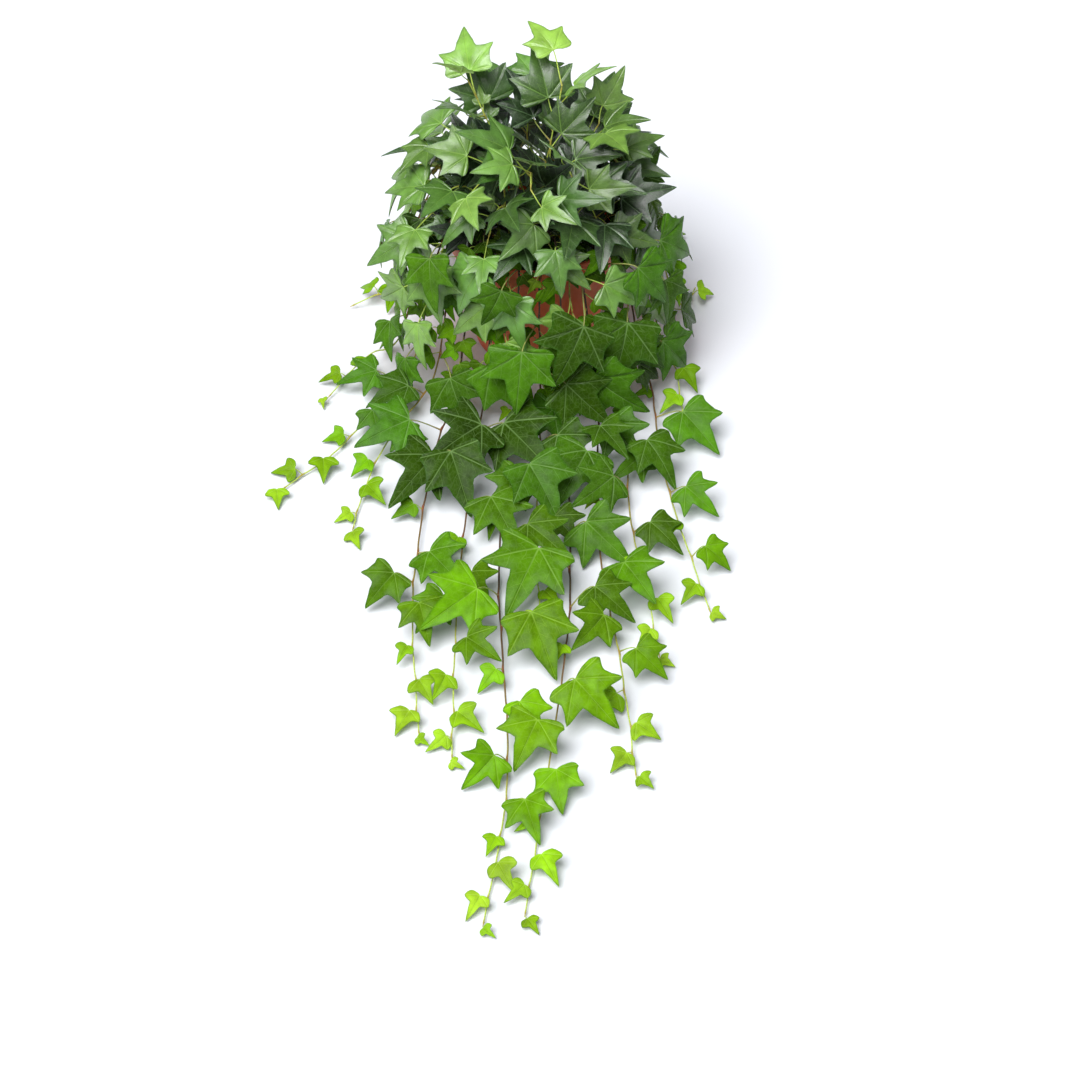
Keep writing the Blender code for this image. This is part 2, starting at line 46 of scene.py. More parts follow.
# The pot, in metres
RIM_RADIUS = 0.065
POT_HEIGHT = 0.105
FOOT_RADIUS = 0.0445
WALL = 0.0016
FLOOR = 0.0030
BAND_HEIGHT = 0.0150
BAND_STEP = 0.0030
EDGE = 0.0012
DRAIN_HOLES = 6
DRAIN_RADIUS = 0.0045
DRAIN_RING = 0.0280

# The soil fills the pot to a little below its rim
SOIL_TOP = 0.0880
SOIL_GAP = 0.0003

# Stems
STEM_RADIUS = 0.0014
ROOT_DEPTH = 0.0110
GROUND_LINE = 0.0024
ROUTE_STEP = 0.0020
ROUTE_SLACK = 0.0040

# Leaves: full-grown blades are this long from their stalk to their tip, and a lower power makes them
# grow sooner along the stem
TRAIL_LEAF = 0.050
CROWN_LEAF = 0.042
GROWTH_POWER = 0.90
SMALL_LEAF = 0.024
BLADE_THICKNESS = 0.0008
STALK_WIDTH = 0.0013
STALK_FOOT_WIDTH = 0.0009
LEAST_HEIGHT = 0.0016
CLEARANCE = 0.0009
STEM_CLEARANCE = 0.0008
TRIES = 240

# Seen from the front and above, the pot's wall shows between the leaves round these places: x, height and
# how far round it
SIGHT_RISE = 42.0
SHOWN_PLACES = ((0.034, 0.048, 0.007), (0.004, 0.058, 0.004))

# A blade's right half, for a length of 1: degrees from the midrib, distance from the stalk, True in
# a bay between two lobes
FIVE_LOBES = ((92.0, 0.47, False), (64.0, 0.46, True), (49.0, 0.71, False), (24.0, 0.49, True))
THREE_LOBES = ((60.0, 0.58, False), (28.0, 0.46, True))
LOBE_SPACING = 46.0

# Long stems: name, heading at the rim in degrees from the front, height over the rim, then places on the
# surface that they lie along
TRAILS = (
    ("trail_left_short", -72, 0.022, ((-0.122, -0.038), (-0.152, -0.082))),
    ("trail_left", -57, 0.030, ((-0.112, -0.094), (-0.140, -0.142), (-0.180, -0.184))),
    ("trail_left_mid", -44, 0.020, ((-0.100, -0.125), (-0.122, -0.180), (-0.128, -0.228))),
    (
        "trail_left_front", -32, 0.030,
        ((-0.072, -0.150), (-0.082, -0.240), (-0.084, -0.340), (-0.076, -0.430)),
    ),
    (
        "trail_front_left", -20, 0.018,
        ((-0.044, -0.165), (-0.052, -0.260), (-0.054, -0.360), (-0.054, -0.452)),
    ),
    (
        "trail_front", -8, 0.028,
        ((-0.022, -0.180), (-0.026, -0.290), (-0.020, -0.385), (-0.016, -0.486), (-0.032, -0.596)),
    ),
    ("trail_front_short", 2, 0.023, ((0.002, -0.180), (0.000, -0.260), (0.006, -0.340))),
    (
        "trail_front_right", 12, 0.030,
        ((0.024, -0.175), (0.025, -0.300), (0.018, -0.390), (0.006, -0.486), (-0.006, -0.588)),
    ),
    (
        "trail_right_front", 24, 0.020,
        ((0.044, -0.165), (0.044, -0.260), (0.058, -0.370), (0.066, -0.468)),
    ),
    (
        "trail_right_mid", 36, 0.029,
        ((0.066, -0.145), (0.066, -0.220), (0.076, -0.290), (0.084, -0.356)),
    ),
    (
        "trail_right", 49, 0.020,
        ((0.086, -0.110), (0.092, -0.170), (0.102, -0.240), (0.120, -0.312)),
    ),
    ("trail_right_short", 64, 0.028, ((0.104, -0.062), (0.108, -0.104))),
    ("trail_side_right", 98, 0.020, ((0.116, 0.024), (0.122, 0.050))),
    ("trail_back_right", 128, 0.026, ((0.094, 0.082), (0.104, 0.124))),
    ("trail_back", 167, 0.020, ((0.032, 0.130), (0.042, 0.172))),
    ("trail_back_left", -150, 0.027, ((-0.070, 0.112), (-0.080, 0.156))),
    ("trail_side_left", -107, 0.021, ((-0.118, 0.030), (-0.140, 0.026))),
)
TRAIL_ROOT_RING = 0.046
TRAIL_JOINTS = 0.040
TRAIL_LIFT = 0.010

# Arching shoots stand between the long stems: height over the rim, reach from the axis, fall of the tip.
# They reach farther on the left than on the right by this share
SHOOT_FORMS = ((0.026, 0.090, 0.050), (0.076, 0.058, 0.008), (0.050, 0.072, 0.018))
SHOOT_ROOT_RING = 0.028
SHOOT_JOINTS = 0.027
CROWN_LEAN = 0.12

# Upright shoots in the middle: heading, height over the rim, reach from the axis
CENTRE_SHOOTS = (
    (-98, 0.116, 0.048),
    (140, 0.100, 0.030),
    (96, 0.080, 0.046),
    (-20, 0.060, 0.034),
    (40, 0.070, 0.016),
)
CENTRE_ROOT_RING = 0.012

# Fine leaves: the right half of a blade's outline for a length of 1, from the shoulder to its last point
# before the tip, and the degrees from the midrib of its main veins
FULL_BLADE = (
    (0.190, -0.070), (0.335, -0.082), (0.430, -0.048), (0.472, 0.018), (0.428, 0.118), (0.414, 0.205),
    (0.456, 0.325), (0.540, 0.470), (0.390, 0.464), (0.200, 0.447), (0.160, 0.605), (0.085, 0.815),
    (0.028, 0.958),
)
SMALL_BLADE = (
    (0.160, -0.040), (0.330, -0.015), (0.450, 0.120), (0.502, 0.290), (0.360, 0.350), (0.216, 0.406),
    (0.165, 0.570), (0.085, 0.800), (0.028, 0.955),
)
FULL_VEINS = (0.0, 49.0, 92.0)
SMALL_VEINS = (0.0, 60.0)

# A blade's mesh: steps from one point of its outline to the next, where its rings lie between stalk and
# margin, and how ragged its margin is
BLADE_STEPS = 2
RING_SHARES = (0.0, 0.16, 0.34, 0.52, 0.70, 0.86, 1.0)
MARGIN_ROUGHNESS = 0.008

# A fine blade's form: its thickness and least height in metres, where its bays are in degrees from the
# midrib, then, as shares of its length, how far it swells between its veins and sinks along them, leans to
# one side, waves along its edge, twists and curls down at its tip
LEAF_THICKNESS = 0.00045
FLOOR_GAP = 0.0005
BAY_ANGLES = (24.0, 64.0)
BAY_SPREAD = 10.0
PUFF = 0.024
CREASE = 0.012
LOBE_LEAN = 0.04
EDGE_WAVES = (5, 6, 7)
EDGE_WAVE_HEIGHTS = (0.006, 0.014)
TWIST = 0.05
TIP_CURL = 0.24
TIP_CURL_FROM = 0.70

# Fine stems and leaf stalks, in metres. A stem grows thicker up to STEM_THICKENS from its tip and brown up
# to BARK_FROM_TIP, and it kinks and swells at its joints
FINE_STEM_RADIUS = 0.00072
KINK = 0.0009
STEM_SPAN = 0.0030
STEM_SIDES = 8
TIP_RADIUS = 0.00045
STEM_THICKENS = 0.35
TENDER_TIP = 0.01
BARK_FROM_TIP = 0.40
KINK_REACH = 0.012
KNOT_CORE = 0.0012
KNOT_LENGTH = 0.0022
KNOT_SWELL = 0.40
STALK_SIDES = 6
STALK_SPANS = 8
STALK_RADIUS = 0.00055

# Young leaves that only show from near: their lengths at the tips of long stems and of shoots, and beside
# older leaves
TIP_LEAVES = (0.005, 0.009)
CROWN_TIP_LEAVES = (0.008, 0.019)
SIDE_LEAVES = (0.007, 0.013)
YOUNG_TRIES = 40

# Small leaves that fill the crown and cover the pot: lengths, spacing along the stems, the bare foot, the
# height they start at and how far they stay from a tip
FILLER_LEAVES = (0.015, 0.023)
FILLER_JOINTS = 0.010
FILLER_BARE = 0.018
FILLER_LOW = 0.030
FILLER_FROM_TIP = 0.025

# Fine pot and soil: how many steps they turn in, the soil's rings, and the height and size of its lumps
POT_STEPS = 96
SOIL_RINGS = 18
SOIL_RELIEF = 0.0018
LUMP_SIZE = 0.006
CRUMBS = 220

# Long stems grow over more than this length, shoots over less
LONG_GROWTH = 0.1

# A leaf's age runs from 0, just opened, to 1. For long stems and for shoots: the age at the tip, the length
# over which a leaf ages by 1, and the share of its age that shows far from the pot or outside the crown. A
# long stem's leaf shows all of its age within the first radius round the pot, and the least past the second
BUD_AGE = 0.14
TRAIL_AGES = (0.25, 0.14, 0.48)
# In the crown the rest of a leaf's age comes with its depth, so deep leaves are darker: partly age, partly
# painted shade
CROWN_AGES = (0.50, 0.12, 0.52)
BY_POT = (0.14, 0.42)
SMALL_LEAF_AGE = 0.66

# Leaves deep in the crown are darker, as painted shade for the shade inside the foliage: the crown's middle,
# its half axes, and the shares of them at which a leaf counts as deep and as outside
CROWN_MIDDLE = (0.0, 0.0, 0.110)
CROWN_REACH = (0.095, 0.095, 0.100)
DEPTHS = (0.62, 1.18)

# Patterns: for a leaf's length of 1, a vein's width, the way from branch to branch and the number of net
# cells, then real sizes in metres. Leaf cells and the pot's grain are finer in truth and are drawn as coarse
# as they need to show
VEIN_WIDTH = 0.013
BRANCH_SPACING = 0.19
NET_CELLS = 16.0
BLOTCH_SIZE = 0.009
CELL_SIZE = 0.0007
FLECK_SIZE = 0.0012
CLOUD_SIZE = 0.030
SPLASH_SIZE = 0.006
SPLASH_HEIGHT = 0.022
PLASTIC_GRAIN = 0.0009
PEAT_GRAIN = 0.0016
PERLITE_GRAIN = 0.0006

# How much a leaf's colour varies: inside it, from leaf to leaf in value and hue, and deep in the crown,
# where the darkening is painted shade. Its dark rim starts at this share of the way to the margin
BLOTCH_VALUES = (0.70, 1.20)
TONE_VALUES = (0.42, 1.46)
TONE_HUES = (0.492, 0.508)
PAINTED_DEEP_SHADE = 0.16
RIM_START = 0.90
RIM_SHARE = 0.55

# Light and camera: where each light shines from, how wide it looks in degrees, and its strength
SOFT_LIGHTS = (
    ("key", (-1.5, -1.9, 4.3), 44.0, 4.4),
    ("fill", (1.6, -0.9, 1.4), 50.0, 0.30),
)
FLOOR_SIZE = 60.0
SKY = ((0.0, "#EEF0F6"), (0.08, "#55565A"), (1.0, "#85868B"))
CAMERA_RISE = 42.0
CAMERA_DISTANCE = 2.4
FRAME_WIDTH = 0.756
SENSOR_WIDTH = 36.0
CAMERA_TARGET = (0.0035, -0.235, 0.0)


class Vine(NamedTuple):
    """A leafy stem: its line from root to tip, its leaves' spacing, its bare foot, and how leaves grow.

    Its first leaf is tip_leaf long, and its leaves reach their longest at the length growth from the tip.
    """

    name: str
    route: list
    joints: float
    bare: float
    tip_leaf: float
    longest: float
    growth: float


class Joint(NamedTuple):
    """Where a leaf grows: its place, the stem's direction, its side, its count and way from the tip."""

    place: Vector
    along: Vector
    turn: int
    rank: int
    from_tip: float


class Pose(NamedTuple):
    """How a leaf is held: its joint on the stem, its base, which way it lies, its length and its form."""

    joint: Joint
    base: Vector
    side: Vector
    midrib: Vector
    normal: Vector
    length: float
    form: dict


class Leaf(NamedTuple):
    """A leaf's middle surface: its points, their normals and its faces, the blade's first."""

    points: list
    normals: list
    faces: list
    blade_faces: int
    pose: Pose


# Routes of the stems


def heading_vector(degrees):
    """A level unit vector: 0 points to the front and positive turns towards +X."""
    angle = math.radians(degrees)
    return Vector((math.sin(angle), -math.cos(angle), 0.0))


def curve_through(points, steps=None):
    """A curve through the points, with this many steps between two of them or one every ROUTE_STEP."""
    points = [Vector(p) for p in points]
    ends = [points[0] * 2 - points[1], *points, points[-1] * 2 - points[-2]]
    line = []
    for a, b, c, d in zip(ends, ends[1:], ends[2:], ends[3:]):
        count = steps or max(2, round((c - b).length / ROUTE_STEP))
        for i in range(count):
            t = i / count
            bend = (2 * a - 5 * b + 4 * c - d) * t * t + (3 * (b - c) + d - a) * t * t * t
            line.append((2 * b + (c - a) * t + bend) / 2)
    return [*line, points[-1]]


def thinned(route):
    """The fewest of a route's places that stay within ROUTE_SLACK of it."""
    first, last = route[0], route[-1]
    along = (last - first).normalized()
    offsets = [((p - first) - along * (p - first).dot(along)).length for p in route]
    far = max(range(len(route)), key=offsets.__getitem__)
    if offsets[far] <= ROUTE_SLACK or len(route) < 3:
        return [first, last]
    return thinned(route[: far + 1])[:-1] + thinned(route[far:])


def rooted(heading, ring, profile, run=()):
    """A route that stands in the soil, follows a profile of (radius, height), then lies on the surface."""
    out = heading_vector(heading)
    collar = out * ring + UP * (SOIL_TOP + 0.001)
    points = [collar] + [out * radius + UP * height for radius, height in profile]
    for i, (x, y) in enumerate(run):
        lifted = i % 2 == 0 and i < len(run) - 1
        points.append(Vector((x, y, GROUND_LINE + (TRAIL_LIFT if lifted else 0.0))))
    route = curve_through(points)
    for place in route:
        place.z = max(place.z, GROUND_LINE)
    return [collar - UP * ROOT_DEPTH, *thinned(route)]


def trail(name, heading, crest, run):
    """A long stem that comes up beside the rim, falls outside the pot and lies along the surface."""
    profile = (
        (TRAIL_ROOT_RING + 0.004, POT_HEIGHT + 0.35 * crest),
        (0.0590, POT_HEIGHT + 0.90 * crest),
        (0.0740, POT_HEIGHT + 0.90 * crest),
        (0.0880, POT_HEIGHT - 0.0080),
        (0.0950, 0.0600),
        (0.1020, 0.0250),
        (0.1150, 0.0060),
    )
    route = rooted(heading, TRAIL_ROOT_RING, profile, run)
    return Vine(name, route, TRAIL_JOINTS, 0.026, 0.016, TRAIL_LEAF, 0.300)


def arching_shoot(name, heading, height, reach, fall):
    """A shoot that rises from the soil and arches outwards over the crown."""
    profile = (
        (SHOOT_ROOT_RING + 0.003, POT_HEIGHT + 0.30 * height),
        (0.62 * reach, POT_HEIGHT + 0.86 * height),
        (0.82 * reach, POT_HEIGHT + height),
        (reach, POT_HEIGHT + height - fall),
    )
    route = rooted(heading, SHOOT_ROOT_RING, profile)
    return Vine(name, route, SHOOT_JOINTS, 0.034, 0.032, CROWN_LEAF, 0.050)


def centre_shoot(name, heading, height, reach):
    """A shoot that stands almost upright in the middle of the crown."""
    profile = (
        (CENTRE_ROOT_RING + 0.002, POT_HEIGHT + 0.25 * height),
        (0.60 * reach, POT_HEIGHT + 0.65 * height),
        (reach, POT_HEIGHT + height),
    )
    route = rooted(heading, CENTRE_ROOT_RING, profile)
    return Vine(name, route, SHOOT_JOINTS, 0.034, 0.034, CROWN_LEAF, 0.050)


def all_vines():
    vines = [trail(*row) for row in TRAILS]
    headings = sorted(row[1] for row in TRAILS)
    for i, (left, right) in enumerate(zip(headings, headings[1:] + [headings[0] + 360])):
        heading = (left + right) / 2
        height, reach, fall = SHOOT_FORMS[i % len(SHOOT_FORMS)]
        reach *= 1.0 - CROWN_LEAN * math.sin(math.radians(heading))
        vines.append(arching_shoot(f"shoot_{i + 1:02d}", heading, height, reach, fall))
    for i, form in enumerate(CENTRE_SHOOTS):
        vines.append(centre_shoot(f"shoot_centre_{i + 1}", *form))
    return vines


# Leaves


def blade_outline(lobes, width, bays):
    """The blade's corners in the flat, from the right side of the stalk round to its left side."""
    right = []
    for degrees, reach, in_bay in lobes:
        angle = math.radians(degrees)
        reach *= bays if in_bay else 1.0
        right.append((width * reach * math.sin(angle), reach * math.cos(angle)))
    return right + [(0.0, 1.0)] + [(-x, y) for x, y in reversed(right)]


def blade_height(x, y, fold, droop, ruffle):
    """How far a blade of length 1 rises from the flat: sides folded up, tip down, lobes down and bays up."""
    reach = math.hypot(x, y)
    angle = math.degrees(math.atan2(abs(x), y))
    wave = ruffle * math.cos(math.radians(360.0 * angle / LOBE_SPACING)) * reach * reach
    return fold * abs(x) * (1.0 - 0.4 * reach) - droop * reach * reach - wave


def leaf_at(pose):
    """The leaf's middle surface: a fan from its base to each lobe and bay, and a ribbon for its stalk."""
    joint, base, side, midrib, normal, length, form = pose
    place = joint.place
    half = STALK_WIDTH / 2
    points = [base + side * half]
    lobes = THREE_LOBES if form["small"] else FIVE_LOBES
    for x, y in blade_outline(lobes, form["width"], form["bays"]):
        z = blade_height(x, y, form["fold"], form["droop"], form["ruffle"])
        points.append(base + (side * x + midrib * y + normal * z) * length)
    points.append(base - side * half)
    left = len(points) - 1
    tip = left // 2
    faces = [(0, i, i + 1) for i in range(1, tip)] + [(0, tip, left)]
    faces += [(left, i, i + 1) for i in range(tip, left - 1)]
    normals = blade_normals(points, faces, normal)
    blade_faces = len(faces)
    foot = side * (STALK_FOOT_WIDTH / 2)
    points += [place + foot, place - foot]
    normals += [normal, normal]
    faces.append((left + 1, 0, left, left + 2))
    return Leaf(points, normals, faces, blade_faces, pose)


def blade_normals(points, faces, normal):
    """A normal for each corner of the blade, with the flat blade's own at the two corners of its base."""
    normals = [Vector((0.0, 0.0, 0.0)) for _ in points]
    for a, b, c in faces:
        turned = (points[b] - points[a]).cross(points[c] - points[a]).normalized()
        for i in (a, b, c):
            normals[i] += turned
    turn = 1 if normals[1].dot(normal) > 0 else -1
    middle = [n.normalized() * turn for n in normals[1:-1]]
    return [normal, *middle, normal]


def thickened(leaf, faces, half):
    """Some of the leaf's faces as a closed solid: the surface on both sides and a rim between them."""
    count = len(leaf.points)
    points = [p + n * half for p, n in zip(leaf.points, leaf.normals)]
    points += [p - n * half for p, n in zip(leaf.points, leaf.normals)]
    rim = {}
    for face in faces:
        for pair in zip(face, face[1:] + face[:1]):
            rim[frozenset(pair)] = None if frozenset(pair) in rim else pair
    solid = list(faces) + [tuple(i + count for i in reversed(face)) for face in faces]
    solid += [(b, a, a + count, b + count) for a, b in filter(None, rim.values())]
    return points, solid


def outward(place):
    """The way out of the plant's own mass: up from the surface, or out from the pot and the crown."""
    level = Vector((place.x, place.y, 0.0))
    radius = level.length
    level.normalize()
    if place.z < 0.03 and radius > 0.10:
        return (UP + level * 0.2).normalized()
    if place.z < POT_HEIGHT:
        return (level + UP * 0.3).normalized()
    return (place - UP * (POT_HEIGHT - 0.030)).normalized()


def leaf_try(joint, length, small, share, draw):
    """One way to hold a leaf at a joint. share widens the draw from the natural pose as tries fail."""
    place, along, turn = joint.place, joint.along, joint.turn
    out = outward(place)
    side = along.cross(out).normalized() * turn
    radius = Vector((place.x, place.y)).length
    lies = place.z < 0.03 and radius > 0.10
    falls = not lies and place.z < POT_HEIGHT + 0.022 and radius > 0.070
    loose = 0.45 + 0.55 * share
    reach = length * draw.uniform(0.40, 0.70 + 0.50 * share) * (0.55 if small else 1.0)
    lift = draw.uniform(*((0.60, 1.20) if lies else (0.50, 1.60) if falls else (0.30, 0.95)))
    stalk = side * 0.75 + out * lift + along * draw.uniform(0.1, 0.6)
    if joint.rank == 0:
        stalk = along + out * 0.35 + side * 0.25
    stalk += Vector([draw.uniform(-1, 1) for _ in range(3)]) * 0.55 * loose
    base = place + stalk.normalized() * max(reach, 0.006)
    swing = draw.uniform(0.20, 0.90) + draw.uniform(-0.9, 0.9) * share
    if lies:
        midrib = along * 0.75 + side * swing - UP * draw.uniform(0.10, 0.60)
    elif falls:
        midrib = side * swing + out * 0.30 - UP * draw.uniform(0.60, 1.10)
    else:
        midrib = along * 0.30 + side * swing + out * 0.55 - UP * draw.uniform(0.10, 0.60)
    midrib.normalize()
    face = out + UP * 0.35 + FRONT * (0.80 if lies else 0.45)
    face += Vector([draw.uniform(-1, 1) for _ in range(3)]) * 0.80 * loose
    across = midrib.cross(face).normalized()
    form = {
        "small": small,
        "width": draw.uniform(0.92, 1.08),
        "bays": draw.uniform(0.90, 1.10),
        "fold": draw.uniform(0.04, 0.36),
        "droop": draw.uniform(0.04, 0.28),
        "ruffle": draw.uniform(0.015, 0.05),
    }
    return leaf_at(Pose(joint, base, across, midrib, across.cross(midrib), length, form))


# Keeping everything apart


def tube_faces(rings, sides):
    """The faces of a tube between this many rings of corners."""
    turns = [(k, (k + 1) % sides) for k in range(sides)]
    starts = range(0, (rings - 1) * sides, sides)
    return [(i + k, i + n, i + sides + n, i + sides + k) for i in starts for k, n in turns]


def tube_tree(route, radius, sides=6):
    """A search tree for a tube of this radius along the route."""
    corners = []
    for i, place in enumerate(route):
        along = (route[min(i + 1, len(route) - 1)] - route[max(i - 1, 0)]).normalized()
        across = along.orthogonal().normalized()
        other = along.cross(across)
        for k in range(sides):
            angle = 2 * math.pi * k / sides
            corners.append(place + (across * math.cos(angle) + other * math.sin(angle)) * radius)
    return BVHTree.FromPolygons(corners, tube_faces(len(route), sides))


def pot_tree(sides=24):
    """A search tree for the pot's outside, a little larger, and for its inside above the soil."""
    profile = (
        (FOOT_RADIUS + CLEARANCE, 0.0),
        (RIM_RADIUS - BAND_STEP + CLEARANCE, POT_HEIGHT - BAND_HEIGHT),
        (RIM_RADIUS + CLEARANCE, POT_HEIGHT - BAND_HEIGHT),
        (RIM_RADIUS + CLEARANCE, POT_HEIGHT + CLEARANCE),
        (RIM_RADIUS - 3 * WALL - CLEARANCE, POT_HEIGHT + CLEARANCE),
        (RIM_RADIUS - 4 * WALL - CLEARANCE, SOIL_TOP + CLEARANCE),
        (0.0, SOIL_TOP + CLEARANCE),
    )
    points = [heading_vector(360 * k / sides) * r + UP * z for r, z in profile for k in range(sides)]
    return BVHTree.FromPolygons(points, tube_faces(len(profile), sides))


def sight_lines():
    """Where the pot shows: places on its wall, and the way from them to the eye."""
    rise = math.radians(SIGHT_RISE)
    places = []
    for x, height, spread in SHOWN_PLACES:
        radius = FOOT_RADIUS + (RIM_RADIUS - FOOT_RADIUS) * height / POT_HEIGHT
        for turn in range(0, 360, 60):
            side = x + spread * math.cos(math.radians(turn))
            up = height + spread * math.sin(math.radians(turn))
            places.append(Vector((side, -math.sqrt(radius * radius - side * side) - WALL, up)))
    return places, FRONT * math.cos(rise) + UP * math.sin(rise)


def well_held(leaf):
    """True where the stalk leaves the stem at a fair angle and isn't seen on its edge."""
    along = leaf.pose.joint.along
    foot, head = leaf.faces[-1][:2]
    run = (leaf.points[head] - leaf.points[foot]).normalized()
    across = (leaf.points[-2] - leaf.points[-1]).normalized()
    return abs(run.dot(across)) < 0.65 and -0.60 < run.dot(along) < 0.88


def crosses_itself(leaf):
    """True where two faces of the leaf's solid that share no corner meet."""
    points, faces = thickened(leaf, leaf.faces, BLADE_THICKNESS * 0.6)
    tree = BVHTree.FromPolygons(points, faces)
    return any(not set(faces[a]) & set(faces[b]) for a, b in tree.overlap(tree))


class Clear:
    """Everything placed so far, to test a new leaf against."""

    def __init__(self, vines):
        self.pot = pot_tree()
        self.stems = {v.name: tube_tree(v.route, STEM_RADIUS + STEM_CLEARANCE) for v in vines}
        self.shown, self.to_eye = sight_lines()
        self.leaves = []

    def hides_pot(self, tree):
        """True for a leaf that covers a place where the pot shows."""
        return any(tree.ray_cast(place, self.to_eye)[0] for place in self.shown)

    def admits(self, own_stem, leaf):
        """True, and the leaf is remembered, where it can stay as it is held."""
        if min(p.z for p in leaf.points) < LEAST_HEIGHT:
            return False
        if not well_held(leaf):
            return False
        centre = sum(leaf.points, Vector((0.0, 0.0, 0.0))) / len(leaf.points)
        radius = max((p - centre).length for p in leaf.points)
        whole = BVHTree.FromPolygons(*thickened(leaf, leaf.faces, CLEARANCE))
        if whole.overlap(self.pot) or self.hides_pot(whole):
            return False
        for other, at, size in self.leaves:
            if (at - centre).length < size + radius + 2 * CLEARANCE and whole.overlap(other):
                return False
        blade = BVHTree.FromPolygons(*thickened(leaf, leaf.faces[: leaf.blade_faces], CLEARANCE))
        for name, stem in self.stems.items():
            if (blade if name == own_stem else whole).overlap(stem):
                return False
        if crosses_itself(leaf):
            return False
        self.leaves.append((whole, centre, radius))
        return True


def joints_of(vine):
    """The joints of a stem, from its tip back to its bare foot: closer together near the tip."""
    route = vine.route[::-1]
    total = sum((b - a).length for a, b in zip(route, route[1:]))
    draw = random.Random(vine.name)
    wanted, walked = 0.001, 0.0
    joints = []
    for a, b in zip(route, route[1:]):
        step = (b - a).length
        while wanted <= walked + step and wanted < total - vine.bare:
            place = a.lerp(b, (wanted - walked) / step)
            rank = len(joints)
            joints.append(Joint(place, (a - b).normalized(), 1 if rank % 2 else -1, rank, wanted))
            wanted += vine.joints * draw.uniform(0.85, 1.15) * min(1.0, 0.5 + wanted / 0.2)
        walked += step
    return joints


def leaves_of_all(vines, clear):
    """Every vine's leaves by its name. Outer leaves of all vines take their places before inner ones."""
    found = {vine.name: [] for vine in vines}
    joints = [(joint.rank, vine.name, joint, vine) for vine in vines for joint in joints_of(vine)]
    for rank, name, joint, vine in sorted(joints, key=lambda row: row[:2]):
        draw = random.Random(f"{name} leaf {rank}")
        grown = min(1.0, joint.from_tip / vine.growth) ** GROWTH_POWER
        length = (vine.tip_leaf + (vine.longest - vine.tip_leaf) * grown) * draw.uniform(0.88, 1.10)
        if vine.growth > LONG_GROWTH and rank % 4 == 3:
            length = draw.uniform(0.014, 0.022)
        for k in range(TRIES):
            size = length * (1.0 if k < 0.4 * TRIES else 0.82 if k < 0.7 * TRIES else 0.66)
            leaf = leaf_try(joint, size, length < SMALL_LEAF, k / TRIES, draw)
            if clear.admits(name, leaf):
                found[name].append(leaf)
                break
    return found


# Placing things in Blender


def hex_colour(code):
    """An sRGB hex code as linear red, green, blue and alpha."""
    parts = [int(code[i : i + 2], 16) / 255 for i in (1, 3, 5)]
    return [p / 12.92 if p <= 0.04045 else ((p + 0.055) / 1.055) ** 2.4 for p in parts] + [1.0]


def deselect():
    for obj in bpy.context.selected_objects:
        obj.select_set(False)


def new_object(name, data):
    """An object for this mesh, light or camera, in the scene."""
    obj = bpy.data.objects.new(name, data)
    bpy.context.scene.collection.objects.link(obj)
    return obj


def select_only(objects):
    """Selects these objects and makes the first the active one."""
    deselect()
    for obj in objects:
        obj.select_set(True)
    bpy.context.view_layer.objects.active = objects[0]


def joined(name, objects):
    """Several objects as one, with its own name."""
    select_only(objects)
    bpy.ops.object.join()
    whole = bpy.context.object
    whole.name = whole.data.name = name
    return whole


def apply(obj, kind, **settings):
    """Adds a modifier with its settings and applies it."""
    select_only([obj])
    modifier = obj.modifiers.new(kind.lower(), kind)
    for key, value in settings.items():
        setattr(modifier, key, value)
    bpy.ops.object.modifier_apply(modifier=modifier.name)


def corners_of(mesh):
    """The mesh's vertices as an array of rows."""
    flat = np.empty(len(mesh.vertices) * 3)
    mesh.vertices.foreach_get("co", flat)
    return flat.reshape(-1, 3)


def move_corners(mesh, rows):
    mesh.vertices.foreach_set("co", np.asarray(rows, dtype=np.float64).ravel())
    mesh.update()


def mark(mesh, name, values):
    """Writes one number for each vertex under a name that the materials read."""
    layer = mesh.attributes.get(name) or mesh.attributes.new(name, "FLOAT", "POINT")
    layer.data.foreach_set("value", np.broadcast_to(values, len(mesh.vertices)).astype(np.float32))


def marks_of(mesh, name):
    """Reads the numbers that mark wrote."""
    values = np.empty(len(mesh.vertices), dtype=np.float32)
    mesh.attributes[name].data.foreach_get("value", values)
    return values


def smooth_step(low, high, value):
    t = np.clip((value - low) / (high - low), 0.0, 1.0)
    return t * t * (3.0 - 2.0 * t)


# Blades


class Blade(NamedTuple):
    """A flat blade to copy and, for its corners: place, side (1 is up), reach to the margin, 1 on a vein."""

    pattern: bpy.types.Object
    flat: np.ndarray
    side: np.ndarray
    reach: np.ndarray
    vein: np.ndarray


def spoke_angle(place):
    """Degrees from the midrib, positive on the right."""
    return math.degrees(math.atan2(place[0], place[1]))


def spread_grid(mesh, outline, veins, draw):
    """Moves a grid's corners: its columns become spokes to the outline, its rows rings round the stalk."""
    spokes, rings = len(outline) - 1, len(RING_SHARES) - 1
    ragged = [1.0 + draw.uniform(-MARGIN_ROUGHNESS, MARGIN_ROUGHNESS) for _ in outline]
    angles = [spoke_angle(place) for place in outline]
    on_vein = set()
    for vein in (*veins, *(-v for v in veins)):
        on_vein.add(min(range(spokes + 1), key=lambda k: abs(angles[k] - vein)))
    reach, vein_share = [], []
    for vertex in mesh.vertices:
        spoke = round((vertex.co.x + 0.5) * spokes)
        share = RING_SHARES[round((vertex.co.y + 0.5) * rings)]
        x, y = outline[spoke] * (share * (ragged[spoke] if share == 1.0 else 1.0))
        vertex.co = (x, y, 0.0)
        reach.append(share)
        vein_share.append(1.0 if spoke in on_vein else 0.0)
    mark(mesh, "reach", reach)
    mark(mesh, "vein", vein_share)


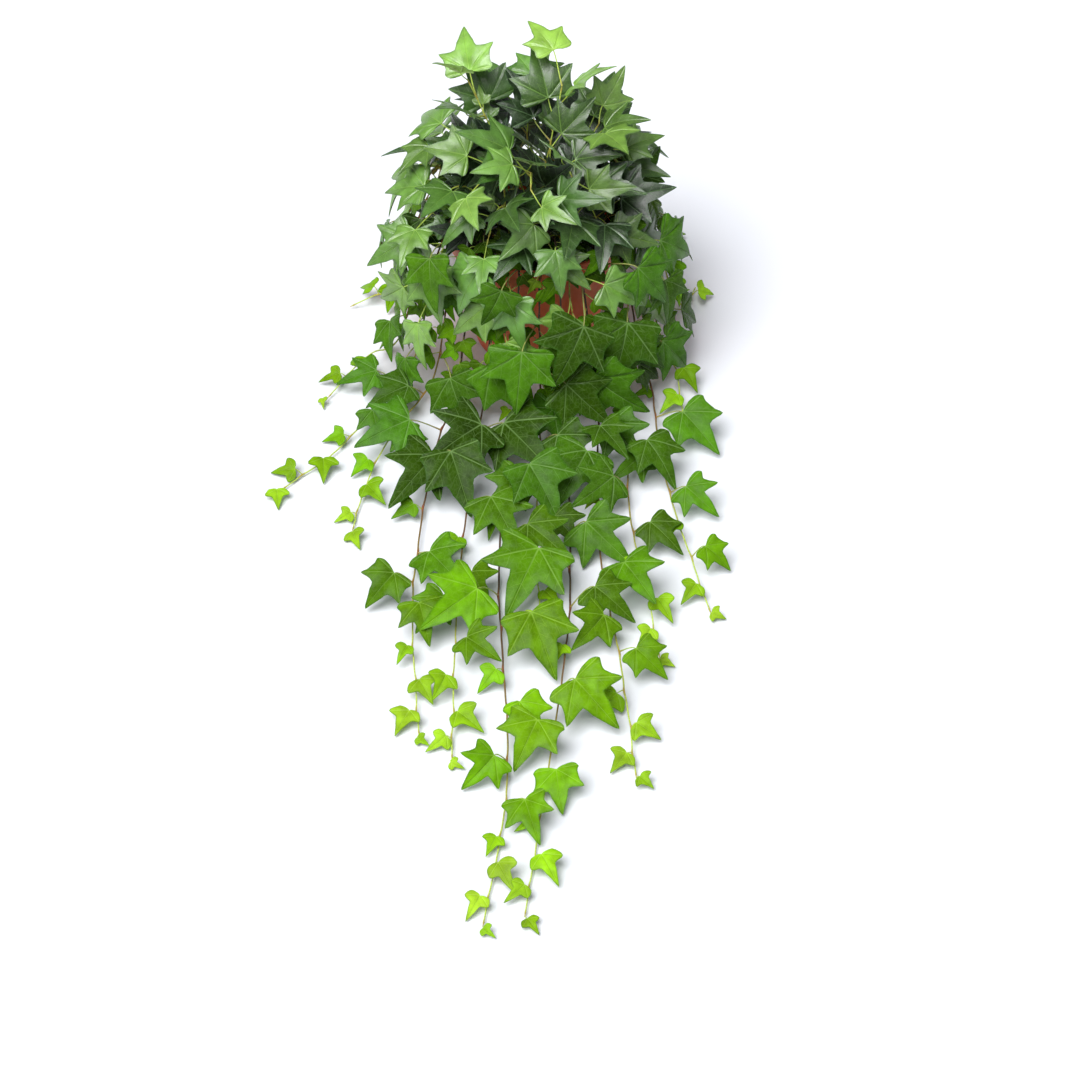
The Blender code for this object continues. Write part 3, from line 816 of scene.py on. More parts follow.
def map_veins(mesh, veins):
    """Two UV maps: leaf holds the flat place, veins the way across and along the nearest main vein."""
    leaf_map = mesh.uv_layers[0]
    leaf_map.name = "leaf"
    vein_map = mesh.uv_layers.new(name="veins")
    for face in mesh.polygons:
        angle = abs(spoke_angle(face.center))
        heading = math.radians(min(veins, key=lambda vein: abs(angle - vein)))
        for loop in face.loop_indices:
            x, y, _ = mesh.vertices[mesh.loops[loop].vertex_index].co
            leaf_map.data[loop].uv = (x, y)
            across = abs(x) * math.cos(heading) - y * math.sin(heading)
            along = abs(x) * math.sin(heading) + y * math.cos(heading)
            vein_map.data[loop].uv = (across, along)


def blade_pattern(name, half, veins, upper, under):
    """A flat blade of length 1, from a grid that is spread to the outline and given two sides."""
    left = curve_through([(-x, y) for x, y in half] + [(0.0, 1.0)], BLADE_STEPS)
    outline = left + [Vector((-p.x, p.y)) for p in reversed(left[:-1])]
    rings = len(RING_SHARES) - 1
    deselect()
    bpy.ops.mesh.primitive_grid_add(x_subdivisions=len(outline) - 1, y_subdivisions=rings, size=1.0)
    blade = bpy.context.object
    blade.name = blade.data.name = name
    mesh = blade.data
    spread_grid(mesh, outline, veins, random.Random(name))
    map_veins(mesh, veins)
    select_only([blade])
    bpy.ops.object.mode_set(mode="EDIT")
    bpy.ops.mesh.select_all(action="SELECT")
    bpy.ops.mesh.remove_doubles(threshold=0.00001)
    bpy.ops.object.mode_set(mode="OBJECT")
    mesh.materials.append(upper)
    mesh.materials.append(under)
    apply(blade, "SOLIDIFY", thickness=0.02, offset=0.0, material_offset=1, material_offset_rim=0)
    bpy.ops.object.shade_smooth_by_angle(angle=math.radians(60))
    rows = corners_of(mesh)
    sides = np.sign(rows[:, 2])
    return Blade(blade, rows[:, :2].copy(), sides, marks_of(mesh, "reach"), marks_of(mesh, "vein"))


def fine_leaf(blade, pose, age, depth, draw):
    """A copy of the blade, bent as the solid leaf is, with its own finer waves, at the leaf's place."""
    form, length = pose.form, pose.length
    x, y = blade.flat[:, 0], blade.flat[:, 1]
    angle = np.degrees(np.arctan2(np.abs(x), y))
    bay_pull = sum(np.exp(-(((angle - bay) / BAY_SPREAD) ** 2)) for bay in BAY_ANGLES)
    scale = 1.0 + (form["bays"] - 1.0) * np.clip(bay_pull, 0.0, 1.0)
    lean = 1.0 + draw.uniform(-LOBE_LEAN, LOBE_LEAN) * np.sign(x)
    x = x * scale * form["width"] * lean
    y = y * scale
    reach = np.hypot(x, y)
    wave = form["ruffle"] * np.cos(np.radians(360.0 * angle / LOBE_SPACING)) * reach**2
    z = form["fold"] * np.abs(x) * (1.0 - 0.4 * reach) - form["droop"] * reach**2 - wave
    phase, turns = draw.uniform(0.0, 6.3), draw.choice(EDGE_WAVES)
    edge_wave = np.sin(turns * np.radians(angle) * np.sign(x) * 2.0 + phase)
    z += draw.uniform(*EDGE_WAVE_HEIGHTS) * blade.reach**3 * edge_wave
    z += draw.uniform(-TWIST, TWIST) * x * y
    z -= draw.uniform(0.0, TIP_CURL) * np.clip(y - TIP_CURL_FROM, 0.0, 1.0) ** 2
    swell = np.clip(np.sin(np.pi * blade.reach), 0.0, 1.0)
    z += PUFF * swell * (1.0 - blade.vein)
    z -= CREASE * blade.vein * swell ** 0.5
    half = LEAF_THICKNESS / 2 * (0.6 + 0.4 * min(1.0, length / TRAIL_LEAF))
    axes = np.array([pose.side, pose.midrib, pose.normal])
    rows = np.stack([x * length, y * length, z * length + blade.side * half], axis=1) @ axes
    rows += np.array(pose.base)
    rows[:, 2] = np.maximum(rows[:, 2], FLOOR_GAP)
    mesh = blade.pattern.data.copy()
    move_corners(mesh, rows)
    mark(mesh, "age", age)
    # How deep the leaf is in the crown, which the materials turn into painted shade
    mark(mesh, "depth", depth)
    mark(mesh, "tone", 0.5 + draw.uniform(-0.5, 0.5) * (0.3 + 0.7 * age))
    return new_object("leaf", mesh)


# Stems and stalks


def rod_pattern(name, sides, spans):
    """An upright rod of length 1 and radius 1 with this many spans, a multiple of 4, to be bent."""
    deselect()
    bpy.ops.mesh.primitive_cylinder_add(vertices=sides, radius=1.0, depth=1.0, location=(0.0, 0.0, 0.0))
    rod = bpy.context.object
    rod.name = rod.data.name = name
    for cuts in (spans // 4 - 1, 3):
        bpy.ops.object.mode_set(mode="EDIT")
        bpy.ops.mesh.select_mode(type="EDGE")
        bpy.ops.mesh.select_all(action="DESELECT")
        bpy.ops.object.mode_set(mode="OBJECT")
        for edge in rod.data.edges:
            low, high = (rod.data.vertices[i].co.z for i in edge.vertices)
            edge.select = abs(high - low) > 0.001
        bpy.ops.object.mode_set(mode="EDIT")
        bpy.ops.mesh.subdivide(number_cuts=cuts)
        bpy.ops.mesh.select_mode(type="VERT")
        bpy.ops.object.mode_set(mode="OBJECT")
    bpy.ops.object.shade_smooth_by_angle(angle=math.radians(60))
    return rod


def frames_along(path):
    """For each place of a path, two directions across it that turn as little as they can."""
    across = (path[1] - path[0]).orthogonal().normalized()
    frames = []
    for i, place in enumerate(path):
        along = (path[min(i + 1, len(path) - 1)] - path[max(i - 1, 0)]).normalized()
        across = (across - along * across.dot(along)).normalized()
        frames.append((across, along.cross(across)))
    return frames


def bent_rod(pattern, path, radii, name, **marks):
    """A copy of a rod bent along the path, with a radius and marks for each of its places."""
    mesh = pattern.data.copy()
    rows = corners_of(mesh)
    rings = np.rint((rows[:, 2] + 0.5) * (len(path) - 1)).astype(int)
    frames = np.array([[a, b] for a, b in frames_along(path)])
    middle = np.array(path)[rings]
    radius = np.asarray(radii)[rings][:, None]
    placed = middle + radius * (rows[:, :1] * frames[rings, 0] + rows[:, 1:2] * frames[rings, 1])
    placed[:, 2] = np.maximum(placed[:, 2], FLOOR_GAP)
    move_corners(mesh, placed)
    for key, values in marks.items():
        mark(mesh, key, np.broadcast_to(values, len(path))[rings])
    return new_object(name, mesh)


def softened(route):
    """A route with its corners rounded off: each pass cuts every corner at a quarter of its sides."""
    for _ in range(3):
        inner = [p for a, b in zip(route, route[1:]) for p in (a.lerp(b, 0.25), a.lerp(b, 0.75))]
        route = [route[0], *inner, route[-1]]
    return route


def evenly(route, spans):
    """The same line as places that are equally far apart."""
    lengths = [0.0]
    for a, b in zip(route, route[1:]):
        lengths.append(lengths[-1] + (b - a).length)
    wanted = np.linspace(0.0, lengths[-1], spans + 1)
    columns = [np.interp(wanted, lengths, [p[k] for p in route]) for k in range(3)]
    return [Vector(row) for row in zip(*columns)]


def bezier(a, b, c, d, spans):
    places = []
    for i in range(spans + 1):
        t = i / spans
        s = 1.0 - t
        places.append(a * s**3 + b * (3 * s * s * t) + c * (3 * s * t * t) + d * t**3)
    return places


def kinked(path, joints):
    """The path pushed a little aside at each joint, to the side of its leaf."""
    moved = [p.copy() for p in path]
    for joint in joints[1:]:
        side = joint.along.cross(outward(joint.place)).normalized() * (joint.turn * KINK)
        for p, old in zip(moved, path):
            far = (old - joint.place).length / KINK_REACH
            if far < 1.0:
                p += side * (1.0 - far) * (1.0 - far)
    return moved


def stem_of(vine, joints):
    """The vine's stem, swollen and reddish at its joints. Returns it and the line it follows."""
    line = softened(vine.route)
    total = sum((b - a).length for a, b in zip(line, line[1:]))
    spans = max(24, 4 * round(total / (4 * STEM_SPAN)))
    path = kinked(evenly(line, spans), joints)
    from_tip = np.linspace(total, 0.0, spans + 1)
    grown = np.clip(from_tip / STEM_THICKENS, 0.0, 1.0) ** 0.6
    radii = TIP_RADIUS + (FINE_STEM_RADIUS - TIP_RADIUS) * grown
    knots = np.zeros(spans + 1)
    for joint in joints:
        far = np.array([(p - joint.place).length for p in path])
        knots = np.maximum(knots, np.exp(-((np.maximum(far - KNOT_CORE, 0.0) / KNOT_LENGTH) ** 2)))
    radii = radii * (1.0 + KNOT_SWELL * knots)
    radii[-1] *= 0.35
    bark = smooth_step(TENDER_TIP, BARK_FROM_TIP, from_tip)
    pattern = rod_pattern("stem_pattern", STEM_SIDES, spans)
    stem = bent_rod(pattern, path, radii, vine.name + "_stem", age=bark, knot=knots)
    bpy.data.objects.remove(pattern)
    stem.data.materials.append(stem_bark)
    return stem, path


def stalk_of(pose, line, pattern, tender, draw):
    """A leaf's stalk: from the stem, along the solid leaf's stalk, into the base of the blade."""
    foot = min(line, key=lambda p: (p - pose.joint.place).length)
    reach = (pose.base - pose.joint.place).length
    bend = pose.base - (pose.midrib * 0.16 + pose.normal * 0.10) * reach
    sway = pose.side * (draw.uniform(-0.05, 0.05) * reach)
    first = foot.lerp(bend, 0.55) + sway
    head = pose.base + pose.midrib * (0.02 * pose.length) - pose.normal * 0.0003
    path = bezier(foot, first, bend, head, STALK_SPANS)
    share = np.linspace(0.0, 1.0, STALK_SPANS + 1)
    size = 0.55 + 0.45 * min(1.0, pose.length / TRAIL_LEAF)
    radii = STALK_RADIUS * size * (1.0 + 0.45 * np.exp(-((share / 0.12) ** 2)) - 0.15 * share)
    knot = 0.75 * np.exp(-((share / 0.18) ** 2))
    stalk = bent_rod(pattern, path, radii, "stalk", age=tender, knot=knot)
    stalk.data.materials.append(leaf_stalk)
    return stalk


def young_leaves(vines, clear):
    """Small young leaves beside the older ones of the long stems, and a pair at the end of every stem."""
    found = {vine.name: [] for vine in vines}
    for vine in vines:
        draw = random.Random(vine.name + " young")
        joints = joints_of(vine)
        tips = TIP_LEAVES if vine.growth > LONG_GROWTH else CROWN_TIP_LEAVES
        places = [(joints[0]._replace(turn=turn), tips) for turn in (-1, 1)]
        if vine.growth > LONG_GROWTH:
            places += [(joint._replace(turn=-joint.turn), SIDE_LEAVES) for joint in joints[1:]]
        closer = joints_of(vine._replace(joints=FILLER_JOINTS, bare=FILLER_BARE))
        for joint in closer:
            if joint.place.z > FILLER_LOW and joint.from_tip > FILLER_FROM_TIP:
                places.append((joint._replace(rank=joint.rank + 1), FILLER_LEAVES))
        for joint, sizes in places:
            length = draw.uniform(*sizes)
            for k in range(YOUNG_TRIES):
                leaf = leaf_try(joint, length, True, k / YOUNG_TRIES, draw)
                if clear.admits(vine.name, leaf):
                    found[vine.name].append(leaf)
                    break
    return found


def age_of(leaf, vine):
    """0 for a leaf that has just opened at a tip, 1 for an old dark leaf by the pot or deep inside the
    crown, where the darker colour is partly age and partly painted shade.
    """
    joint, length, small = leaf.pose.joint, leaf.pose.length, leaf.pose.form["small"]
    if length < SIDE_LEAVES[1] or (length < SMALL_LEAF and joint.rank == 0):
        return BUD_AGE
    if vine.growth > LONG_GROWTH:
        start, growth, least = TRAIL_AGES
        darkness = 1.0 - float(smooth_step(*BY_POT, Vector(leaf.pose.base[:2]).length))
    else:
        start, growth, least = CROWN_AGES
        # Deep in the crown a leaf takes older, darker colours: partly age, partly painted shade
        darkness = depth_of(leaf)
    age = min(1.0, start + joint.from_tip / growth) * (least + (1.0 - least) * darkness)
    return age * (SMALL_LEAF_AGE if small else 1.0)


def depth_of(leaf):
    """0 at the outside of the crown and everywhere beyond it, 1 deep inside. The materials darken deep
    leaves with it as painted shade.
    """
    out = [(p - m) / r for p, m, r in zip(leaf.pose.base, CROWN_MIDDLE, CROWN_REACH)]
    return 1.0 - float(smooth_step(*DEPTHS, Vector(out).length))


def leafy_stem(vine, grown, blades, stalk_pattern):
    """One whole vine as one piece: its stem with every stalk and leaf."""
    draw = random.Random(vine.name + " finish")
    stem, line = stem_of(vine, joints_of(vine))
    parts = [stem]
    kind = "trail" if vine.growth > LONG_GROWTH else "crown"
    for leaf in grown:
        blade = blades[kind, leaf.pose.form["small"]]
        age = min(1.0, max(0.02, age_of(leaf, vine) + draw.uniform(-0.10, 0.10)))
        parts.append(fine_leaf(blade, leaf.pose, age, depth_of(leaf), draw))
        parts.append(stalk_of(leaf.pose, line, stalk_pattern, age, draw))
    piece = joined("leafy_" + vine.name, parts)
    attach(piece, "root")
    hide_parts(vine.name)
    return piece


# Pot and soil


def lathe(name, profile, steps):
    """A solid of revolution, made as by hand: a disc whose rim is extruded and resized up and down."""
    deselect()
    (radius, height), rest = profile[0], profile[1:]
    bpy.ops.mesh.primitive_circle_add(
        vertices=steps, radius=radius, location=(0.0, 0.0, height), fill_type="TRIFAN"
    )
    solid = bpy.context.object
    solid.name = solid.data.name = name
    bpy.ops.object.transform_apply(location=True)
    bpy.ops.object.mode_set(mode="EDIT")
    bpy.ops.mesh.select_all(action="SELECT")
    bpy.ops.mesh.region_to_loop()
    for next_radius, next_height in rest:
        bpy.ops.mesh.extrude_edges_move(
            TRANSFORM_OT_translate={"value": (0.0, 0.0, next_height - height)}
        )
        bpy.ops.transform.resize(
            value=(next_radius / radius, next_radius / radius, 1.0),
            center_override=(0.0, 0.0, next_height),
        )
        radius, height = next_radius, next_height
    bpy.ops.mesh.fill()
    bpy.ops.mesh.select_all(action="SELECT")
    bpy.ops.mesh.normals_make_consistent(inside=False)
    bpy.ops.object.mode_set(mode="OBJECT")
    return solid


def arc(centre, radius, start, end, steps):
    """Places of (radius, height) on an arc from one angle to another, in degrees."""
    angles = [math.radians(start + (end - start) * i / steps) for i in range(steps + 1)]
    return [(centre[0] + radius * math.cos(a), centre[1] + radius * math.sin(a)) for a in angles]


def make_pot():
    """The pot: thin wall, rolled band round the rim, rounded foot and six drain holes."""
    inner_foot = FOOT_RADIUS - WALL
    under_band = POT_HEIGHT - BAND_HEIGHT
    profile = [
        (inner_foot - 0.004, FLOOR),
        *arc((inner_foot - 0.002, FLOOR + 0.002), 0.002, -90, -10, 3),
        (RIM_RADIUS - BAND_STEP - WALL, under_band),
        (RIM_RADIUS - 1.6 * WALL - 0.0006, POT_HEIGHT - 0.0010),
        *arc((RIM_RADIUS - 1.1 * WALL, POT_HEIGHT - 0.0009), 0.0009, 150, 90, 3),
        *arc((RIM_RADIUS - EDGE, POT_HEIGHT - EDGE), EDGE, 90, 0, 4),
        (RIM_RADIUS - 0.0004, under_band + 0.0012),
        *arc((RIM_RADIUS - 0.0012, under_band + 0.0006), 0.0007, 0, -90, 3),
        (RIM_RADIUS - BAND_STEP + 0.0004, under_band + 0.0001),
        (RIM_RADIUS - BAND_STEP, under_band - 0.0006),
        (FOOT_RADIUS + 0.0002, EDGE + 0.0006),
        *arc((FOOT_RADIUS - EDGE, EDGE), EDGE, -5, -90, 4),
        (FOOT_RADIUS - 0.0055, 0.0),
    ]
    pot = lathe("nursery_pot", profile, POT_STEPS)
    for i in range(DRAIN_HOLES):
        place = heading_vector(360 * i / DRAIN_HOLES) * DRAIN_RING
        deselect()
        bpy.ops.mesh.primitive_cylinder_add(
            vertices=32, radius=DRAIN_RADIUS, depth=0.012, location=(place.x, place.y, FLOOR / 2)
        )
        drill = bpy.context.object
        apply(pot, "BOOLEAN", operation="DIFFERENCE", object=drill)
        bpy.data.objects.remove(drill)
    select_only([pot])
    bpy.ops.object.shade_smooth_by_angle(angle=math.radians(35))
    pot.data.materials.clear()
    pot.data.materials.append(pot_plastic)
    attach(pot, "root")
    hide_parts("pot")
    return pot


def make_soil():
    """Potting mix: a fine-meshed top with lumps in it, and crumbs and white grains that lie on it."""
    slope = (RIM_RADIUS - BAND_STEP - FOOT_RADIUS) / (POT_HEIGHT - BAND_HEIGHT - FLOOR)

    def wall_at(height):
        return FOOT_RADIUS - WALL + slope * (height - FLOOR) - SOIL_GAP

    top = SOIL_TOP - SOIL_RELIEF
    rings = [(wall_at(top) * share, top) for share in np.linspace(0.04, 1.0, SOIL_RINGS)]
    foot = FLOOR + 2 * SOIL_GAP
    soil = lathe("potting_mix", [*rings, (wall_at(foot), foot)], 64)
    rows = corners_of(soil.data)
    for row in rows:
        if row[2] > top - 0.0001:
            edge = math.hypot(row[0], row[1]) / wall_at(top)
            lump = noise.fractal(Vector(row) / LUMP_SIZE, 0.8, 2.2, 3)
            row[2] += SOIL_RELIEF * max(-1.0, min(1.0, lump)) * (1.0 - 0.6 * edge**6)
    move_corners(soil.data, rows)
    soil.data.materials.append(peat)
    deselect()
    bpy.ops.mesh.primitive_ico_sphere_add(subdivisions=2, radius=1.0)
    crumb = bpy.context.object
    round_shape = corners_of(crumb.data)
    draw = random.Random("crumbs")
    parts = [soil]
    for i in range(CRUMBS):
        pale = i % 9 == 0
        radius = (wall_at(top) - 0.004) * math.sqrt(draw.random())
        place = heading_vector(draw.uniform(0, 360)) * radius + UP * (top + 0.0006)
        size = draw.uniform(0.0008, 0.0016) if pale else draw.uniform(0.0008, 0.0026)
        squash = np.array([draw.uniform(0.6, 1.5), draw.uniform(0.6, 1.3), draw.uniform(0.4, 0.8)])
        shift = Vector([draw.uniform(0, 50) for _ in range(3)])
        rough = np.array([1.0 + 0.45 * noise.noise(Vector(p) * 1.4 + shift) for p in round_shape])
        mesh = crumb.data.copy()
        move_corners(mesh, np.array(place) + round_shape * rough[:, None] * squash * size)
        mesh.materials.append(perlite if pale else peat)
        parts.append(new_object("crumb", mesh))
    bpy.data.objects.remove(crumb)
    whole = joined("potting_mix", parts)
    bpy.ops.object.shade_smooth_by_angle(angle=math.radians(50))
    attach(whole, "root")
    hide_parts("soil")
    return whole


# Materials


def add(tree, kind, inputs=(), **settings):
    """Adds a node with its settings and returns its first output. An input is a value or an output."""
    node = tree.nodes.new("ShaderNode" + kind)
    for key, value in settings.items():
        setattr(node, key, value)
    for key, value in dict(inputs).items():
        if isinstance(value, bpy.types.NodeSocket):
            tree.links.new(value, node.inputs[key])
        else:
            node.inputs[key].default_value = value
    return node.outputs[0]


def new_material(name):
    """An empty material, its node tree and the node that ends it."""
    material = bpy.data.materials.new(name)
    material.use_nodes = True
    tree = material.node_tree
    tree.nodes.clear()
    return material, tree, tree.nodes.new("ShaderNodeOutputMaterial")


def fill_ramp(output, stops):
    """Sets a colour ramp's stops of (place, hex colour)."""
    ramp = output.node.color_ramp
    while len(ramp.elements) < len(stops):
        ramp.elements.new(0.5)
    for element, (place, code) in zip(ramp.elements, stops):
        element.position = place
        element.color = hex_colour(code)
    return output


def vein_pattern(tree):
    """How much each place is vein: main veins, their branches at half a right angle, and a fine net."""
    leaf = add(tree, "UVMap", uv_map="leaf")
    split = add(tree, "SeparateXYZ", {0: add(tree, "UVMap", uv_map="veins")}).node
    across = add(tree, "Math", {0: split.outputs["X"]}, operation="ABSOLUTE")
    along = split.outputs["Y"]
    width = add(tree, "MapRange", {0: along, 1: 0.0, 2: 1.0, 3: VEIN_WIDTH, 4: VEIN_WIDTH / 3})
    ratio = add(tree, "Math", {0: across, 1: width}, operation="DIVIDE")
    main = add(
        tree, "MapRange", {0: ratio, 1: 0.2, 2: 1.4, 3: 1.0, 4: 0.0}, interpolation_type="SMOOTHSTEP"
    )
    wander = add(tree, "TexNoise", {"Vector": leaf, "Scale": 6.0, "Detail": 1.0})
    run = add(tree, "Math", {0: across, 1: -0.95, 2: along}, operation="MULTIPLY_ADD")
    run = add(tree, "Math", {0: wander, 1: 0.10, 2: run}, operation="MULTIPLY_ADD")
    apart = add(tree, "Math", {0: run, 1: BRANCH_SPACING / 2}, operation="PINGPONG")
    line = add(tree, "MapRange", {0: apart, 1: 0.002, 2: 0.0065, 3: 1.0, 4: 0.0})
    fade = add(tree, "MapRange", {0: across, 1: 0.02, 2: 0.26, 3: 0.75, 4: 0.15})
    branches = add(tree, "Math", {0: line, 1: fade}, operation="MULTIPLY")
    cells = add(tree, "TexVoronoi", {"Vector": leaf, "Scale": NET_CELLS}, feature="DISTANCE_TO_EDGE")
    net = add(tree, "MapRange", {0: cells, 1: 0.01, 2: 0.09, 3: 0.22, 4: 0.0})
    most = add(tree, "Math", {0: main, 1: branches}, operation="MAXIMUM")
    return add(tree, "Math", {0: most, 1: net}, operation="MAXIMUM")


def leaf_material(name, ages, vein_colours, margin, vein_share, roughness, shine, relief):
    """A leaf's skin: coloured by age, mottled, with paler veins, a darker margin, a waxy gloss and painted
    shade deep in the crown.
    """
    material, tree, end = new_material(name)
    marks = {}
    for key in ("age", "tone", "reach", "depth"):
        marks[key] = add(tree, "Attribute", attribute_name=key).node.outputs["Fac"]
    veins = vein_pattern(tree)
    places = add(tree, "TexCoord").node.outputs["Object"]
    green = fill_ramp(add(tree, "ValToRGB", {"Fac": marks["age"]}), ages)
    blotches = add(tree, "TexNoise", {"Vector": places, "Scale": 1 / BLOTCH_SIZE, "Detail": 3.0})
    low, high = BLOTCH_VALUES
    value = add(tree, "MapRange", {0: blotches, 1: 0.3, 2: 0.7, 3: low, 4: high})
    # Leaves deep in the crown are darkened: painted shade
    for key, low, high in (("tone", *TONE_VALUES), ("depth", 1.0, PAINTED_DEEP_SHADE)):
        shade = add(tree, "MapRange", {0: marks[key], 3: low, 4: high})
        value = add(tree, "Math", {0: value, 1: shade}, operation="MULTIPLY")
    hue = add(tree, "MapRange", {0: marks["tone"], 3: TONE_HUES[0], 4: TONE_HUES[1]})
    green = add(tree, "HueSaturation", {"Hue": hue, "Value": value, "Color": green})
    rim = add(tree, "MapRange", {0: marks["reach"], 1: RIM_START, 2: 1.0, 3: 0.0, 4: RIM_SHARE})
    rimmed = add(tree, "Mix", {"Factor": rim, 6: green, 7: hex_colour(margin)}, data_type="RGBA")
    pale = fill_ramp(add(tree, "ValToRGB", {"Fac": marks["age"]}), vein_colours)
    share = add(tree, "Math", {0: veins, 1: vein_share}, operation="MULTIPLY")
    veined = add(tree, "Mix", {"Factor": share, 6: rimmed.node.outputs[2], 7: pale}, data_type="RGBA")
    grain = add(tree, "TexNoise", {"Vector": places, "Scale": 1 / CELL_SIZE, "Detail": 2.0})
    height = add(tree, "Math", {0: veins, 1: relief, 2: grain}, operation="MULTIPLY_ADD")
    bump = add(tree, "Bump", {"Height": height, "Distance": 0.00022, "Strength": 0.55})
    gloss = add(tree, "MapRange", {0: blotches, 1: 0.3, 2: 0.7, 3: roughness - 0.05, 4: roughness + 0.07})
    skin = add(tree, "BsdfPrincipled", {
        "Base Color": veined.node.outputs[2], "Roughness": gloss, "IOR": 1.45, "Specular IOR Level": shine,
        "Normal": bump,
    })
    tree.links.new(skin, end.inputs["Surface"])
    return material


def bark_material(name, ages, knot_colour, knot_share, roughness):
    """A stem's or a stalk's skin: coloured by age, redder at the knots, with fine flecks."""
    material, tree, end = new_material(name)
    age = add(tree, "Attribute", attribute_name="age").node.outputs["Fac"]
    knot = add(tree, "Attribute", attribute_name="knot").node.outputs["Fac"]
    places = add(tree, "TexCoord").node.outputs["Object"]
    skin_colour = fill_ramp(add(tree, "ValToRGB", {"Fac": age}), ages)
    flecks = add(tree, "TexNoise", {"Vector": places, "Scale": 1 / FLECK_SIZE, "Detail": 3.0})
    value = add(tree, "MapRange", {0: flecks, 1: 0.3, 2: 0.7, 3: 0.72, 4: 1.25})
    skin_colour = add(tree, "HueSaturation", {"Value": value, "Color": skin_colour})
    share = add(tree, "Math", {0: knot, 1: knot_share}, operation="MULTIPLY")
    knot_colour = hex_colour(knot_colour)
    colour = add(tree, "Mix", {"Factor": share, 6: skin_colour, 7: knot_colour}, data_type="RGBA")
    bump = add(tree, "Bump", {"Height": flecks, "Distance": 0.0002, "Strength": 0.5})
    skin = add(tree, "BsdfPrincipled", {
        "Base Color": colour.node.outputs[2], "Roughness": roughness, "IOR": 1.45, "Normal": bump,
    })
    tree.links.new(skin, end.inputs["Surface"])
    return material


def plastic_material():
    """Injection-moulded polypropylene in a terracotta colour: satin, with a faint grain and dusty foot."""
    material, tree, end = new_material("terracotta_polypropylene_moulded")
    places = add(tree, "TexCoord").node.outputs["Object"]
    clouds = add(tree, "TexNoise", {"Vector": places, "Scale": 1 / CLOUD_SIZE, "Detail": 3.0})
    colour = fill_ramp(add(tree, "ValToRGB", {"Fac": clouds}), ((0.30, "#F86A38"), (0.70, "#FF8C60")))
    height = add(tree, "SeparateXYZ", {0: places}).node.outputs["Z"]
    splash = add(tree, "TexNoise", {"Vector": places, "Scale": 1 / SPLASH_SIZE, "Detail": 4.0})
    low = add(tree, "MapRange", {0: height, 1: 0.0, 2: SPLASH_HEIGHT, 3: 0.55, 4: 0.0})
    dust = add(tree, "Math", {0: splash, 1: low}, operation="MULTIPLY")
    dusty = add(tree, "Mix", {"Factor": dust, 6: colour, 7: hex_colour("#8A5B42")}, data_type="RGBA")
    grain = add(tree, "TexNoise", {"Vector": places, "Scale": 1 / PLASTIC_GRAIN, "Detail": 2.0})
    bump = add(tree, "Bump", {"Height": grain, "Distance": 0.00006, "Strength": 0.5})
    rough = add(tree, "MapRange", {0: splash, 1: 0.3, 2: 0.7, 3: 0.40, 4: 0.54})
    skin = add(tree, "BsdfPrincipled", {
        "Base Color": dusty.node.outputs[2], "Roughness": rough, "IOR": 1.49, "Normal": bump,
    })
    tree.links.new(skin, end.inputs["Surface"])
    return material


def crumb_material(name, dark, light, grain_size, roughness):
    """A dry, rough, granular surface between two colours."""
    material, tree, end = new_material(name)
    places = add(tree, "TexCoord").node.outputs["Object"]
    grain = add(tree, "TexNoise", {"Vector": places, "Scale": 1 / grain_size, "Detail": 5.0})
    colour = fill_ramp(add(tree, "ValToRGB", {"Fac": grain}), ((0.35, dark), (0.72, light)))
    bump = add(tree, "Bump", {"Height": grain, "Distance": grain_size / 2, "Strength": 0.8})
    skin = add(tree, "BsdfPrincipled", {"Base Color": colour, "Roughness": roughness, "Normal": bump})
    tree.links.new(skin, end.inputs["Surface"])
    return material


# Studio


def make_floor():
    """A sheet of matt white paper that reaches to the horizon, cool in its whiteness and without gloss."""
    deselect()
    bpy.ops.mesh.primitive_plane_add(size=FLOOR_SIZE, location=(0.0, 0.0, 0.0))
    floor = bpy.context.object
    floor.name = "studio_floor"
    material, tree, end = new_material("matt_white_paper")
    skin = add(tree, "BsdfPrincipled", {"Base Color": hex_colour("#E4E6EC"), "Roughness": 0.9})
    tree.links.new(skin, end.inputs["Surface"])
    floor.data.materials.append(material)


def make_lights():
    """A wide soft light above the front left, a weak one at the right and a sky that is pale low down."""
    for name, way, width, strength in SOFT_LIGHTS:
        data = bpy.data.lights.new(name, "SUN")
        data.angle = math.radians(width)
        data.energy = strength
        lamp = new_object(name, data)
        lamp.location = way
        lamp.rotation_euler = Vector(way).to_track_quat("Z", "Y").to_euler()
    world = bpy.data.worlds.new("studio_sky")
    world.use_nodes = True
    tree = world.node_tree
    way = add(tree, "TexCoord").node.outputs["Generated"]
    height = add(tree, "SeparateXYZ", {0: way}).node.outputs["Z"]
    sky = fill_ramp(add(tree, "ValToRGB", {"Fac": height}), SKY)
    tree.links.new(sky, tree.nodes["Background"].inputs["Color"])
    bpy.context.scene.world = world
    bpy.context.scene.view_settings.view_transform = "Standard"


def make_camera():
    """A long lens in front of the plant that looks down on it."""
    data = bpy.data.cameras.new("camera")
    data.sensor_width = SENSOR_WIDTH
    data.lens = data.sensor_width * CAMERA_DISTANCE / FRAME_WIDTH
    data.clip_end = 20.0
    camera = new_object("camera", data)
    rise = math.radians(CAMERA_RISE)
    back = Vector((0.0, -math.cos(rise), math.sin(rise)))
    target = Vector(CAMERA_TARGET)
    camera.location = target + back * CAMERA_DISTANCE
    camera.rotation_euler = back.to_track_quat("Z", "Y").to_euler()
    bpy.context.scene.camera = camera


# Putting the plant together

